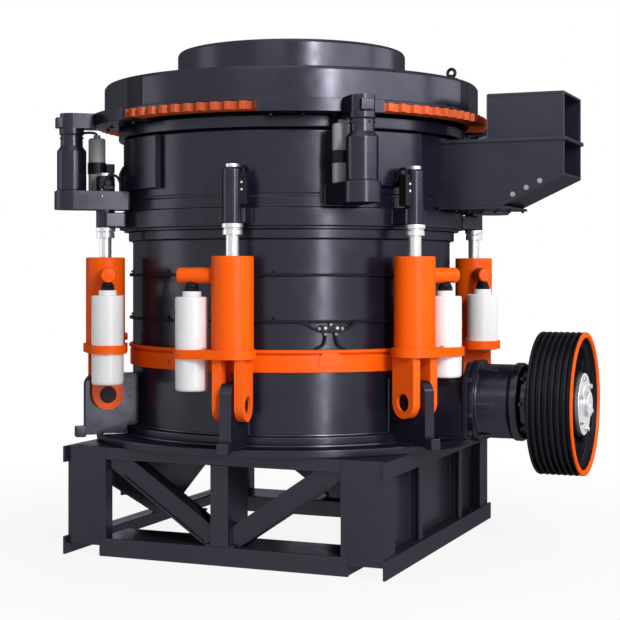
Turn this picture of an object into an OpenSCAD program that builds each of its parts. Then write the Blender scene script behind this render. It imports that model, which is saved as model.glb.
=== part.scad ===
// Hydraulic cone crusher on a welded steel stand.
// Millimetres. Z up, X along the countershaft to the sheave, front is -Y.
// The origin is on the crusher axis at floor level.

/* [Barrel] */
// Outer radius of the main frame barrel
barrel_r = 882; // [840:2:905]
// Height of the main frame barrel above the deck
barrel_h = 1085; // [1000:5:1300]
// Step from the barrel out to the adjusting ring
ring_step = 48; // [30:1:60]

/* [Top] */
// Overhang of the adjusting cap past the adjusting ring
cap_overhang = 110; // [80:2:140]
// Height of the adjusting cap
cap_h = 175; // [120:5:240]
// Outer radius of the feed ring
feed_r = 638; // [620:2:720]
// Height of the feed ring above the cap
feed_h = 195; // [120:5:300]

/* [Stand] */
// Half width of the stand over its side rails
stand_half_x = 890; // [860:5:960]
// Half length of the stand over its end rails
stand_half_y = 930; // [910:5:1020]
// Height of the stand up to the deck
stand_h = 565; // [470:5:720]
// Height of the stand rails
rail_h = 95; // [70:5:120]

// Distance of the anchor bolts from the middle, along the side rails
anchor_y = 500; // [440:5:820]

/* [Tramp release] */
// Gap between the barrel and a tramp cylinder
cyl_gap = 64; // [50:2:90]
// Radius of a tramp cylinder barrel
cyl_r = 104; // [85:1:125]
// Radius of a tramp cylinder rod
rod_r = 33; // [28:1:38]
// Radius of an accumulator
acc_r = 83; // [68:1:86]
// Stroke of the upper frame on the tramp cylinders
lift_stroke = 90; // [50:5:100]

/* [Sheave] */
// Outer radius of the sheave
sheave_r = 371; // [300:5:440]
// Width of the sheave over its grooves
sheave_w = 235; // [200:5:300]
// Number of belt grooves
groove_count = 7; // [4:1:8]

/* [Drive box] */
// Length of the upper half of the drive box
box_length = 400; // [330:5:500]
// Half width of the drive box
box_half_y = 210; // [160:5:260]

/* [Hidden] */
$fn = 96;
tiny = 0.3;
anchor_hole_r = 14;
ring_r = barrel_r + ring_step;
cap_r = ring_r + cap_overhang;
cyl_pcd_r = barrel_r + cyl_gap + cyl_r;
deck_t = 40;
deck_r = barrel_r + 198;
deck_top = stand_h + deck_t;
seat_z = deck_top + barrel_h;
ring_h = 500;
flange_h = 105;
lug_top = seat_z + flange_h - 6;
clamp_base_z = seat_z + 115;
clamp_z = seat_z + ring_h;
gear_z = clamp_z + 75;
gear_h = 42;
cap_z = gear_z + gear_h + 2;
cap_top = cap_z + cap_h;
feed_top = cap_top + feed_h;
wall = 40;
axle_z = deck_top + 185;
cyl_angles = [-139, -83, -31, 31, 83, 139];
acc_side = [1, -1, 1, -1, 1, -1];
acc_gap = 24;
acc_step = 2 * asin((cyl_r + acc_r + acc_gap) / (2 * cyl_pcd_r));
acc_out = [52, 15, 15, 15, 15, 52];
clamp_angles = [-51, -141, 129, 39];
guard_spans = [[-75.7, -43], [-150.5, -117.8], [104.3, 137], [29.5, 62.2]];
clamp_pcd_r = ring_r + 295;
pin_z = deck_top + 215;
pin_r = 45;
barrel_base = pin_z + 226;
barrel_top = seat_z - 50 - lift_stroke;
rod_low = barrel_base + 114;
grey = [0.23, 0.23, 0.27];
orange = [1.0, 0.43, 0.11];
white = [0.93, 0.93, 0.93];
light_grey = [0.62, 0.62, 0.64];
black = [0.05, 0.05, 0.05];
chrome = [0.8, 0.8, 0.82];

// Piece to build, or all of them

// ---------- helpers ----------
module block(x0, x1, y0, y1, z0, z1) {
  translate([x0, y0, z0]) cube([x1 - x0, y1 - y0, z1 - z0]);
}

module tube(r_out, r_in, z0, z1) {
  rotate_extrude() translate([r_in, z0]) square([r_out - r_in, z1 - z0]);
}

module at_polar(angle, radius) {
  rotate([0, 0, angle]) translate([radius, 0, 0]) children();
}

// plate in the plane of X and Z, from y0 to y1
module xz_plate(points, y0, y1) {
  translate([0, y1, 0]) rotate([90, 0, 0]) linear_extrude(y1 - y0) polygon(points);
}

// ring sector between two angles
module sector(r_in, r_out, a0, a1, z0, z1) {
  translate([0, 0, z0])
    rotate([0, 0, a0])
      rotate_extrude(angle = a1 - a0)
        translate([r_in, 0]) square([r_out - r_in, z1 - z0]);
}

// rod along X
module x_rod(r, x0, x1, z) {
  translate([x0, 0, z]) rotate([0, 90, 0]) cylinder(r = r, h = x1 - x0);
}

// ---------- stand ----------
rail_depth = 90;
plate_t = 14;
skin_t = 16;
column_in = 650;
column_out = stand_half_x - plate_t;
column_y = stand_half_y - 160;
column_flange = 72;
rail_over = 30;
column_bottom = 55;
end_rail_x = 690;
end_rail_depth = 300;
truss_depth = 240;
web_x = stand_half_x - rail_depth;
side_top_z = stand_h - rail_h + 10;

module side_rail(z0, z1) {
  flange_y = stand_half_y - skin_t;
  rail_end = stand_half_y + rail_over;
  block(stand_half_x - plate_t, stand_half_x, -rail_end, rail_end, z0, z1);
  block(web_x, stand_half_x - 1, -flange_y, flange_y, z1 - plate_t, z1);
}

// plate between the rails, its lower edge running up towards both columns
module side_web(edge_y, edge_z) {
  mid_y = min(110, edge_y);
  top = side_top_z + 5;
  translate([web_x, 0, 0]) rotate([90, 0, 90]) linear_extrude(plate_t)
    polygon([[-mid_y, rail_h - 4], [mid_y, rail_h - 4], [edge_y, edge_z],
      [edge_y, top], [-edge_y, top], [-edge_y, edge_z]]);
}

module side_frame(edge_z, rib_z) {
  rib_y = 360;
  rib_half = 25;
  pad_y = 60;
  side_rail(0, rail_h);
  side_rail(side_top_z, stand_h);
  block(web_x, stand_half_x - 1, -stand_half_y + skin_t, stand_half_y - skin_t,
    side_top_z, side_top_z + plate_t);
  side_web(column_y, edge_z);
  for (y = [-rib_y, rib_y]) {
    block(web_x + 1, column_out, y - plate_t / 2, y + plate_t / 2, rib_z, side_top_z + 5);
    block(column_out - plate_t, column_out, y - rib_half, y + rib_half, rib_z, side_top_z + 5);
  }
  difference() {
    for (y = [-anchor_y, anchor_y])
      block(web_x, stand_half_x - 1, y - pad_y, y + pad_y, 0, plate_t);
    for (y = [-anchor_y, anchor_y])
      translate([stand_half_x - 45, y, -1]) cylinder(r = anchor_hole_r, h = plate_t + 2);
  }
}

module stand_side_right() {
  color(grey) side_frame(rail_h - 4, rail_h - 4);
}

module stand_side_left() {
  color(grey) mirror([1, 0, 0]) side_frame(rail_h + 299, rail_h + 130);
}

module end_rail() {
  difference() {
    block(-end_rail_x, end_rail_x, -stand_half_y, -stand_half_y + end_rail_depth,
      0, rail_h);
    block(-end_rail_x + plate_t, end_rail_x - plate_t, -stand_half_y + plate_t,
      -stand_half_y + end_rail_depth - plate_t, -1, rail_h - plate_t);
  }
}

module stand_rails() {
  color(grey) {
    end_rail();
    mirror([0, 1, 0]) end_rail();
  }
}

module truss() {
  post_half = 50;
  top_z = stand_h - 63;
  y0 = -stand_half_y;
  block(-column_in, column_in, y0, y0 + truss_depth, top_z, stand_h);
  block(-post_half, post_half, y0, y0 + truss_depth, rail_h, top_z + 1);
  for (side = [0, 1]) mirror([side, 0, 0])
    xz_plate([[post_half - 1, rail_h], [post_half * 2, rail_h],
      [column_in, top_z - 36], [column_in, top_z + 1],
      [column_in - 140, top_z + 1], [post_half - 1, rail_h + 95]],
      y0 + 30, y0 + 130);
}

module stand_truss_front() {
  color(grey) truss();
}

module stand_truss_back() {
  color(grey) mirror([0, 1, 0]) truss();
}

module column() {
  rail_y = -stand_half_y + skin_t;
  difference() {
    union() {
      block(column_in, column_out, -stand_half_y, -stand_half_y + column_flange,
        column_bottom, stand_h);
      block(web_x, column_out, -stand_half_y, -column_y, column_bottom, stand_h);
    }
    block(web_x, column_out + 1, rail_y, -column_y + 1, 0, rail_h);
    block(web_x, column_out + 1, rail_y, -column_y + 1, side_top_z, stand_h + 1);
    block(column_in - 1, end_rail_x, -stand_half_y - 1, -column_y + 1, 0, rail_h);
  }
}

module stand_columns() {
  color(grey)
    for (mx = [0, 1], my = [0, 1])
      mirror([mx, 0, 0]) mirror([0, my, 0]) column();
}

// ---------- main frame ----------
module deck_plate() {
  color(grey) tube(deck_r, barrel_r - wall, stand_h, deck_top);
}

module main_frame() {
  foot_r = barrel_r + 48;
  foot_h = 47;
  lip_h = 50;
  color(grey) difference() {
    union() {
      tube(barrel_r, barrel_r - wall, deck_top, seat_z);
      tube(foot_r, barrel_r - wall, deck_top, deck_top + foot_h);
      tube(barrel_r + 23, barrel_r - wall, seat_z - lip_h, seat_z);
    }
    x_rod(shaft_bore_r, 0, deck_r, axle_z);
  }
}

shaft_bore_r = 150;
hub_r = 300;

module frame_hub() {
  arm_h = 260;
  arm_half = 55;
  reach = barrel_r - wall;
  hub_bottom = stand_h - 90;
  hub_top = seat_z - 320;
  color(grey) {
    difference() {
      union() {
        translate([0, 0, hub_bottom]) cylinder(r = hub_r, h = hub_top - hub_bottom - 300);
        translate([0, 0, hub_bottom]) cylinder(r = 190, h = hub_top - hub_bottom);
        intersection() {
          union() {
            for (a = [90, 180, 270]) rotate([0, 0, a])
              block(0, barrel_r, -arm_half, arm_half, deck_top + 60, deck_top + 60 + arm_h);
            x_rod(shaft_bore_r, 0, barrel_r, axle_z);
          }
          cylinder(r = reach, h = seat_z);
        }
      }
      x_rod(shaft_bore_r - 35, 90, barrel_r, axle_z);
    }
  }
}

module support_band() {
  band_z = deck_top + 364;
  band_h = 85;
  pipe_z = band_z + band_h + 19;
  color(orange) {
    tube(barrel_r + 15, barrel_r, band_z, band_z + band_h);
    rotate_extrude() translate([barrel_r + 12, pipe_z]) circle(r = 12, $fn = 24);
  }
}

module lug() {
  half_t = 30;
  out_r = cyl_pcd_r + 113;
  top_z = pin_z + 110;
  difference() {
    union() {
      xz_plate([[barrel_r - 10, deck_top], [out_r, deck_top], [out_r, pin_z + 70],
        [out_r - 35, top_z], [barrel_r - 10, top_z]], -half_t, half_t);
      block(out_r - 5, out_r + 49, -half_t, half_t, deck_top - 12, deck_top + 45);
    }
    translate([cyl_pcd_r, half_t + 1, pin_z]) rotate([90, 0, 0])
      cylinder(r = pin_r, h = 2 * half_t + 2);
  }
}

module cylinder_lugs() {
  color(grey) difference() {
    for (a = cyl_angles) rotate([0, 0, a]) lug();
    tube(barrel_r, 100, deck_top - 1, seat_z);
    tube(barrel_r + 48, 100, deck_top - 1, deck_top + 47);
  }
}

module cylinder_pins() {
  color(chrome)
    for (a = cyl_angles) at_polar(a, cyl_pcd_r)
      translate([0, 76, pin_z]) rotate([90, 0, 0]) cylinder(r = pin_r, h = 152);
}

module clevis_ear(y0) {
  ear_half = 80;
  difference() {
    union() {
      translate([0, y0 + 45, pin_z]) rotate([90, 0, 0]) cylinder(r = ear_half, h = 45);
      block(-ear_half, ear_half, y0, y0 + 45, pin_z, barrel_base + 5);
    }
    translate([0, y0 + 46, pin_z]) rotate([90, 0, 0]) cylinder(r = pin_r, h = 47);
  }
}

module tramp_cylinder(i) {
  bore_z = rod_low - 10;
  color(orange) at_polar(cyl_angles[i], cyl_pcd_r) {
    difference() {
      union() {
        translate([0, 0, barrel_base]) cylinder(r = cyl_r, h = barrel_top - barrel_base);
        clevis_ear(34);
        clevis_ear(-79);
      }
      translate([0, 0, bore_z]) cylinder(r = rod_r + tiny, h = barrel_top);
    }
  }
}

module tramp_cylinder_1() {
  tramp_cylinder(0);
}

module tramp_cylinder_2() {
  tramp_cylinder(1);
}

module tramp_cylinder_3() {
  tramp_cylinder(2);
}

module tramp_cylinder_4() {
  tramp_cylinder(3);
}

module tramp_cylinder_5() {
  tramp_cylinder(4);
}

module tramp_cylinder_6() {
  tramp_cylinder(5);
}

// ---------- accumulators ----------
acc_h = [465, 465, 415, 310, 465, 465];
feed_z = barrel_top - 95;
acc_top = feed_z - 105;
acc_neck = 27;
feed_r_pipe = 39;

function acc_angle(i) = cyl_angles[i] + acc_side[i] * acc_step;
function polar(a, r) = [r * cos(a), r * sin(a)];
function acc_place(i) = polar(acc_angle(i), cyl_pcd_r + acc_out[i]);

module accumulator_body(h) {
  round_r = 22;
  neck_r = 47;
  translate([0, 0, acc_top - h]) rotate_extrude()
    polygon([[0, 0], [acc_r - round_r, 0], [acc_r - 6, 6], [acc_r, round_r],
      [acc_r, h - 12], [acc_r - 12, h], [neck_r, h], [neck_r, h + acc_neck],
      [0, h + acc_neck]]);
}

module accumulators() {
  color(white)
    for (i = [0:5]) translate(acc_place(i)) accumulator_body(acc_h[i]);
}

// horizontal stub from the cylinder barrel to above the accumulator, with a drop
module accumulator_feed(i) {
  c = polar(cyl_angles[i], cyl_pcd_r);
  p = acc_place(i);
  span = norm(p - c);
  heading = atan2(p[1] - c[1], p[0] - c[0]);
  difference() {
    translate([c[0], c[1], 0]) rotate([0, 0, heading]) {
      x_rod(feed_r_pipe, 0, span + 64, feed_z);
      x_rod(feed_r_pipe - 8, span + 63, span + 72, feed_z);
      translate([span, 0, acc_top + acc_neck]) cylinder(r = 24, h = feed_z - acc_top - acc_neck);
    }
    translate([c[0], c[1], 0]) cylinder(r = cyl_r, h = seat_z);
  }
}

module accumulator_feeds() {
  color(orange)
    for (i = [0:5]) accumulator_feed(i);
}

strap_z = barrel_base + 5;
strap_h = 40;
strap_fit = 0.1;

module accumulator_strap(i) {
  c = polar(cyl_angles[i], cyl_pcd_r);
  p = acc_place(i);
  span = norm(p - c);
  heading = atan2(p[1] - c[1], p[0] - c[0]);
  difference() {
    translate([c[0], c[1], strap_z]) rotate([0, 0, heading]) {
      cylinder(r = cyl_r + 14, h = strap_h);
      translate([span, 0, 0]) cylinder(r = acc_r + 14, h = strap_h);
      block(0, span, -70, 70, 0, strap_h);
    }
    translate([c[0], c[1], 0]) cylinder(r = cyl_r + strap_fit, h = seat_z);
    translate([p[0], p[1], 0]) cylinder(r = acc_r + strap_fit, h = seat_z);
  }
}

module accumulator_straps() {
  color(orange)
    for (i = [0:5]) accumulator_strap(i);
}

// ---------- hoses on the barrel ----------
module hose_ring() {
  hose_r = 9;
  low_z = deck_top + 618;
  high_z = seat_z - 233;
  color(black)
    for (z = [low_z, high_z])
      rotate_extrude() translate([barrel_r + hose_r, z]) circle(r = hose_r, $fn = 24);
}

module hose_junctions() {
  junction_angles = [-54.5, 65.5, 180];
  block_z = deck_top + 563;
  color(black)
    difference() {
      for (a = junction_angles) rotate([0, 0, a]) {
        block(barrel_r - 10, barrel_r + 40, -85, 85, block_z, block_z + 45);
        for (y = [-28, 28])
          translate([barrel_r + 11, y, deck_top + 480]) cylinder(r = 9, h = 89, $fn = 24);
      }
      tube(barrel_r, 100, deck_top, seat_z);
    }
}

// ---------- countershaft ----------
housing_flange_x = barrel_r + 178;
housing_tube_end = housing_flange_x + 280;
shaft_r = 65;
sheave_x = housing_tube_end + 80;
shaft_fit = 0.05;

module countershaft_housing() {
  half_y = 230;
  flange_t = 25;
  color(grey) difference() {
    union() {
      block(barrel_r - 60, housing_flange_x + 1, -half_y, half_y, deck_top,
        axle_z + 105);
      block(housing_flange_x, housing_flange_x + flange_t, -half_y - 10, half_y + 10,
        deck_top + 1, axle_z + 210);
      x_rod(215, housing_flange_x + flange_t, housing_flange_x + 50, axle_z);
      x_rod(195, housing_flange_x + 49, housing_tube_end, axle_z);
      x_rod(165, housing_tube_end, housing_tube_end + 40, axle_z);
    }
    tube(barrel_r, 100, deck_top - 1, seat_z);
    tube(barrel_r + 48, 100, deck_top - 1, deck_top + 47);
    x_rod(shaft_r + shaft_fit, 0, sheave_x, axle_z);
  }
}

module countershaft() {
  key_end = sheave_x + sheave_w + 20;
  color(chrome) x_rod(shaft_r, 200, key_end, axle_z);
}

module sheave() {
  rim_t = 62;
  hub_out = 150;
  pitch = (sheave_w - 20) / groove_count;
  depth = 26;
  groove_half = pitch * 0.36;
  color(black) translate([sheave_x, 0, axle_z]) rotate([0, 90, 0])
    rotate_extrude() difference() {
      union() {
        translate([sheave_r - rim_t, 0]) square([rim_t, sheave_w]);
        translate([hub_out, sheave_w * 0.4]) square([sheave_r - rim_t + 1 - hub_out, 45]);
        translate([hub_out - 30, 20]) square([55, sheave_w - 50]);
      }
      for (k = [0:groove_count - 1])
        polygon([[sheave_r + 1, 10 + pitch * (k + 0.5) - groove_half],
          [sheave_r + 1, 10 + pitch * (k + 0.5) + groove_half],
          [sheave_r - depth, 10 + pitch * (k + 0.5) + groove_half * 0.55],
          [sheave_r - depth, 10 + pitch * (k + 0.5) - groove_half * 0.55]]);
    }
}

module sheave_bush() {
  color(chrome) translate([sheave_x, 0, axle_z]) rotate([0, 90, 0])
    rotate_extrude() {
      translate([shaft_r, 20]) square([120 - shaft_r, sheave_w - 20]);
      translate([shaft_r, sheave_w - 30]) square([162 - shaft_r, 30]);
    }
}

// ---------- crushing chamber ----------
module mantle() {
  base_z = seat_z - 320;
  mantle_r = bowl_r - 150;
  color(grey) rotate_extrude()
    polygon([[0, base_z], [200, base_z], [mantle_r - 90, base_z - 60],
      [mantle_r, base_z - 60], [mantle_r + 5, base_z - 10], [mantle_r - 90, base_z + 170],
      [mantle_r - 250, base_z + 430], [mantle_r - 400, base_z + 640],
      [mantle_r - 435, base_z + 700], [0, base_z + 700]]);
}

module distributor_plate() {
  plate_z = seat_z + 380;
  color(grey) {
    translate([0, 0, plate_z]) cylinder(r = 265, h = 22);
    translate([0, 0, plate_z + 22]) cylinder(r = 90, h = 26);
  }
}

// ---------- upper frame ----------
bowl_r = ring_r - 130;

module adjusting_ring() {
  pad_half = 11;
  pad_from = 16.5;
  color(grey) {
    tube(ring_r, bowl_r, seat_z, clamp_z);
    tube(flange_r, bowl_r + 20, seat_z + 12, seat_z + flange_h);
    for (a = clamp_angles)
      sector(ring_r - 20, ring_r + 35, a + pad_from - pad_half, a + pad_from + pad_half,
        bracket_top + bracket_fit, clamp_z - 10);
  }
}

flange_r = ring_r + 26;
collar_z = seat_z - 37;
sleeve_z = collar_z + 57;
sleeve_r = 50;

module rod_lugs() {
  lug_half = 68;
  color(grey) difference() {
    for (a = cyl_angles) rotate([0, 0, a])
      block(ring_r - 20, cyl_pcd_r + 12, -lug_half, lug_half, sleeve_z, lug_top);
    tube(flange_r, 100, seat_z, seat_z + flange_h + 1);
    for (a = cyl_angles) at_polar(a, cyl_pcd_r)
      translate([0, 0, sleeve_z - 1]) cylinder(r = sleeve_r, h = 200);
  }
}

module tramp_rods() {
  color(chrome)
    for (a = cyl_angles) at_polar(a, cyl_pcd_r) {
      translate([0, 0, rod_low]) cylinder(r = rod_r, h = collar_z - rod_low + 1);
      translate([0, 0, collar_z]) cylinder(r = sleeve_r + 3, h = 57);
    }
}

bracket_h = 98;
bracket_top = clamp_base_z + bracket_h;
valve_side = [1, 1, -1, -1, -1, -1];
valve_low = lug_top + 10;
valve_z = [bracket_top + 5, valve_low, valve_low, valve_low, valve_low, valve_low];

module sleeve_shape() {
  sleeve_h = 275;
  for (i = [0:5]) at_polar(cyl_angles[i], cyl_pcd_r) {
    translate([0, 0, sleeve_z]) cylinder(r = sleeve_r, h = sleeve_h);
    translate([0, 0, sleeve_z + sleeve_h - 2]) cylinder(r = 34, h = 28);
    mirror([0, valve_side[i] < 0 ? 1 : 0, 0])
      block(-30, 30, 20, 85, valve_z[i], sleeve_z + sleeve_h - 15);
  }
}

module rod_sleeves() {
  color(grey) sleeve_shape();
}

arm_z = clamp_z + 48;
arm_h = 80;
arm_half = 62;
arm_out = clamp_pcd_r + 85;

bracket_fit = 0.2;

module clamp_brackets() {
  bracket_half = 92;
  color(grey) difference() {
    for (a = clamp_angles) rotate([0, 0, a]) {
      block(ring_r - 30, clamp_pcd_r, -bracket_half, bracket_half, clamp_base_z, bracket_top);
      translate([clamp_pcd_r, 0, clamp_base_z]) cylinder(r = bracket_half + 3, h = bracket_h);
      block(ring_r - 30, ring_r + 40, -20, 20, bracket_top - 1, clamp_base_z + 240);
    }
    tube(ring_r + bracket_fit, 100, seat_z - 1, clamp_z + 1);
    sleeve_shape();
  }
}

module clamp_cylinders() {
  color(grey)
    for (a = clamp_angles) at_polar(a, clamp_pcd_r) {
      translate([0, 0, bracket_top]) cylinder(r = 78, h = 225);
      translate([0, 0, bracket_top + 224]) cylinder(r = 58, h = arm_z - bracket_top - 224);
    }
}

module clamp_accumulators() {
  color(light_grey)
    for (a = clamp_angles) at_polar(a - 3, clamp_pcd_r - 142)
      translate([0, 0, bracket_top]) {
        cylinder(r = 46, h = 292);
        translate([0, 0, 291]) cylinder(r = 20, h = 20);
      }
}

guard_in = cap_r + 57;
guard_t = 22;

module clamp_arms() {
  color(grey) difference() {
    for (a = clamp_angles) rotate([0, 0, a]) {
      block(guard_in + guard_t - 30, clamp_pcd_r, -arm_half, arm_half, arm_z, arm_z + arm_h);
      translate([clamp_pcd_r, 0, arm_z]) cylinder(r = arm_half + 3, h = arm_h);
      block(clamp_pcd_r, arm_out, -32, 32, arm_z, arm_z + 60);
    }
    tube(guard_in + guard_t, 100, seat_z, feed_top);
  }
}

clamp_ring_r = ring_r + 30;
clamp_ring_h = 60;

module gear_guards() {
  low_z = clamp_z + clamp_ring_h;
  color(grey)
    for (s = guard_spans) {
      sector(guard_in, guard_in + guard_t, s[0], s[1], low_z, gear_z + gear_h + 8);
      sector(clamp_ring_r - 25, guard_in + 1, s[0], s[1], low_z, low_z + 9);
    }
}

module clamp_ring() {
  color(grey) tube(clamp_ring_r, bowl_r, clamp_z, clamp_z + clamp_ring_h);
}

module drive_box() {
  t = 14;
  low_z = seat_z + 85;
  cut_z = seat_z + 270;
  wall_x = cap_r + 143;
  box_reach = wall_x + box_length;
  cut_x = box_reach - 320;
  shelf_z = seat_z + 459;
  top_z = seat_z + 700;
  outer = [[ring_r - 40, low_z + 35], [cut_x, low_z + 35], [box_reach, cut_z],
    [box_reach, top_z], [wall_x, top_z], [wall_x, shelf_z], [ring_r - 40, shelf_z]];
  inner = [[wall_x + t, low_z + 35 + t], [cut_x - 4, low_z + 35 + t],
    [box_reach + 2, cut_z + t], [box_reach + 2, top_z - t], [wall_x + t, top_z - t]];
  color(grey) difference() {
    union() {
      difference() {
        xz_plate(outer, -box_half_y, box_half_y);
        xz_plate(inner, -box_half_y + t, box_half_y - t);
      }
      difference() {
        block(ring_r - 40, box_reach + 12, -box_half_y - 12, box_half_y + 12,
          shelf_z - 10, shelf_z + 10);
        block(wall_x + t, box_reach - 220, -box_half_y + t, box_half_y - t,
          shelf_z - 11, shelf_z + 11);
      }
      block(ring_r - 40, cut_x + 30, -box_half_y, box_half_y, low_z + 22, low_z + 36);
    }
    tube(ring_r, 100, seat_z - 1, clamp_z + 1);
    tube(flange_r, 100, seat_z, seat_z + flange_h);
    tube(clamp_ring_r, 100, clamp_z, clamp_z + clamp_ring_h);
  }
}

// ---------- bowl ----------
module adjusting_cap() {
  lip = 14;
  color(grey) rotate_extrude()
    polygon([[feed_in, cap_z + 60], [bowl_in, cap_z + 60], [bowl_in, seat_z + 40],
      [bowl_r - tiny, seat_z + 40], [bowl_r - tiny, cap_z - 20], [bowl_r + 5, cap_z - 10],
      [bowl_r + 5, cap_z], [cap_r, cap_z], [cap_r, cap_top - lip], [cap_r - lip, cap_top],
      [feed_in, cap_top]]);
}

feed_in = feed_r - 34;
bowl_in = bowl_r - 60;

module feed_ring() {
  chamfer = 10;
  color(grey) rotate_extrude()
    polygon([[feed_in, cap_top], [feed_r, cap_top], [feed_r, feed_top - chamfer],
      [feed_r - chamfer, feed_top], [feed_in, feed_top]]);
}

module drive_gear_ring() {
  teeth = 90;
  root_r = cap_r + 26;
  tip_r = root_r + 21;
  color(orange) {
    tube(root_r, cap_r - 55, gear_z, gear_z + gear_h + 2);
    for (k = [0:teeth - 1]) rotate([0, 0, k * 360 / teeth])
      translate([0, 0, gear_z + 1]) linear_extrude(gear_h - 2)
        polygon([[root_r - 4, -26], [tip_r, -15], [tip_r, 15], [root_r - 4, 26]]);
  }
}

module bowl_liner() {
  low_z = seat_z - 250;
  top_z = cap_z + 60;
  color(grey) rotate_extrude()
    polygon([[bowl_in, seat_z + 40], [bowl_in, top_z], [feed_in + 6, top_z],
      [feed_in + 36, seat_z + 300], [bowl_in - 25, low_z + 130], [bowl_in - 15, low_z],
      [bowl_in + 20, low_z], [bowl_in + 20, seat_z + 20], [bowl_in + 8, seat_z + 40]]);
}

module lifting_lugs() {
  lug_angles = [-6, 174];
  color(black)
    for (a = lug_angles) at_polar(a, cap_r - 75) {
      translate([0, 0, cap_top]) cylinder(r = 34, h = 12);
      translate([0, 12, cap_top + 30]) rotate([90, 0, 0])
        cylinder(r = 30, h = 24);
    }
}

stand_side_left();
stand_side_right();
stand_rails();
stand_truss_front();
stand_truss_back();
stand_columns();
deck_plate();
main_frame();
frame_hub();
support_band();
cylinder_lugs();
cylinder_pins();
tramp_cylinder_1();
tramp_cylinder_2();
tramp_cylinder_3();
tramp_cylinder_4();
tramp_cylinder_5();
tramp_cylinder_6();
accumulators();
accumulator_feeds();
accumulator_straps();
hose_ring();
hose_junctions();
countershaft_housing();
mantle();
distributor_plate();
adjusting_ring();
rod_lugs();
tramp_rods();
rod_sleeves();
clamp_brackets();
clamp_cylinders();
clamp_accumulators();
clamp_arms();
gear_guards();
clamp_ring();
drive_box();
adjusting_cap();
feed_ring();
drive_gear_ring();
bowl_liner();
lifting_lugs();
sheave();
sheave_bush();
countershaft();
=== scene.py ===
import math

import bmesh
import bpy
from mathutils import Matrix, Vector
from mathutils.geometry import tessellate_polygon


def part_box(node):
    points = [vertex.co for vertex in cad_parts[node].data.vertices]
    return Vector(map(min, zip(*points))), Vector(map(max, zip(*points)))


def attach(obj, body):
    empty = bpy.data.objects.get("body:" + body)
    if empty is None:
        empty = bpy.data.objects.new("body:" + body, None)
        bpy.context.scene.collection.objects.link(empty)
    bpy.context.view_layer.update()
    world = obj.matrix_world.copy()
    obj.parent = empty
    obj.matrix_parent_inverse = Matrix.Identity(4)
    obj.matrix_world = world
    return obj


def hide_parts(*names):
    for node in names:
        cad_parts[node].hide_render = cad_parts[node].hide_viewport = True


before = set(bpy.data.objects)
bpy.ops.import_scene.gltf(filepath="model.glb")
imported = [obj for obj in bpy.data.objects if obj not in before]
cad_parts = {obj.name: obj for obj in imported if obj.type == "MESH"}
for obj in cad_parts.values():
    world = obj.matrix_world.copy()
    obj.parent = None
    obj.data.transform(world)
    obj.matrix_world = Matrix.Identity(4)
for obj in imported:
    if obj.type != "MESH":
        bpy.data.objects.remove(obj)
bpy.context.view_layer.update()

# ---------------------------------------------------------------- materials

# Noise scales: broad clouds, specks, smudges in the gloss, settled dust and slow waves.
CLOUDS, SPECKS, SMUDGES, SETTLED, WAVES = 2.3, 34.0, 11.0, 9.0, 5.0
HIGHLIGHT_EDGE_FROM, HIGHLIGHT_EDGE_TO = 0.53, 0.62      # pointiness where the painted edge highlight starts and is full
DUST_COLOUR = (0.35, 0.33, 0.31)
COAT_ROUGHNESS = 0.12
SHEEN_BLUE = 1.2                     # blue of a sheen over its red


def node_of(tree, kind, **values):
    """A node with its inputs, or else its settings, set by name."""
    node = tree.nodes.new(kind)
    for key, value in values.items():
        if key in node.inputs:
            node.inputs[key].default_value = value
        else:
            setattr(node, key, value)
    return node


def spread(tree, source, low, high, out_low, out_high):
    """Maps a value from one range to another."""
    node = tree.nodes.new("ShaderNodeMapRange")
    for index, value in enumerate((low, high, out_low, out_high), start=1):
        node.inputs[index].default_value = value
    tree.links.new(source, node.inputs[0])
    return node.outputs[0]


def noise(tree, where, scale, detail, rough=0.5):
    node = node_of(tree, "ShaderNodeTexNoise", Scale=scale, Detail=detail, Roughness=rough)
    tree.links.new(where, node.inputs["Vector"])
    return node.outputs["Fac"]


def combined(tree, operation, first, second):
    """One value from two."""
    node = node_of(tree, "ShaderNodeMath", operation=operation)
    tree.links.new(first, node.inputs[0])
    tree.links.new(second, node.inputs[1])
    return node.outputs[0]


def mixed(tree, factor, first, second):
    """A colour between two others; either may be a socket or a tuple."""
    node = tree.nodes.new("ShaderNodeMix")
    node.data_type = "RGBA"
    tree.links.new(factor, node.inputs[0])
    for slot, value in ((6, first), (7, second)):
        if isinstance(value, tuple):
            node.inputs[slot].default_value = (*value, 1)
        else:
            tree.links.new(value, node.inputs[slot])
    return node.outputs[2]


def joined_shaders(tree, kind, first, second, output, factor=None):
    """Adds or mixes two shaders into the output."""
    node = tree.nodes.new(kind)
    sockets = list(node.inputs)[-2:]
    if factor:
        tree.links.new(factor, node.inputs[0])
    tree.links.new(first.outputs[0], sockets[0])
    tree.links.new(second.outputs[0], sockets[1])
    tree.links.new(node.outputs[0], output)


def dusted(tree, where, tone, dust):
    """A colour with patchy dust on what faces up."""
    normal = tree.nodes.new("ShaderNodeNewGeometry").outputs["Normal"]
    parts = tree.nodes.new("ShaderNodeSeparateXYZ")
    tree.links.new(normal, parts.inputs[0])
    level = spread(tree, parts.outputs["Z"], 0.55, 1.0, 0, dust)
    patch = spread(tree, noise(tree, where, SETTLED, 6.0, 0.65), 0.35, 0.75, 0.3, 1.0)
    return mixed(tree, combined(tree, "MULTIPLY", level, patch), tone, DUST_COLOUR)


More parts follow.
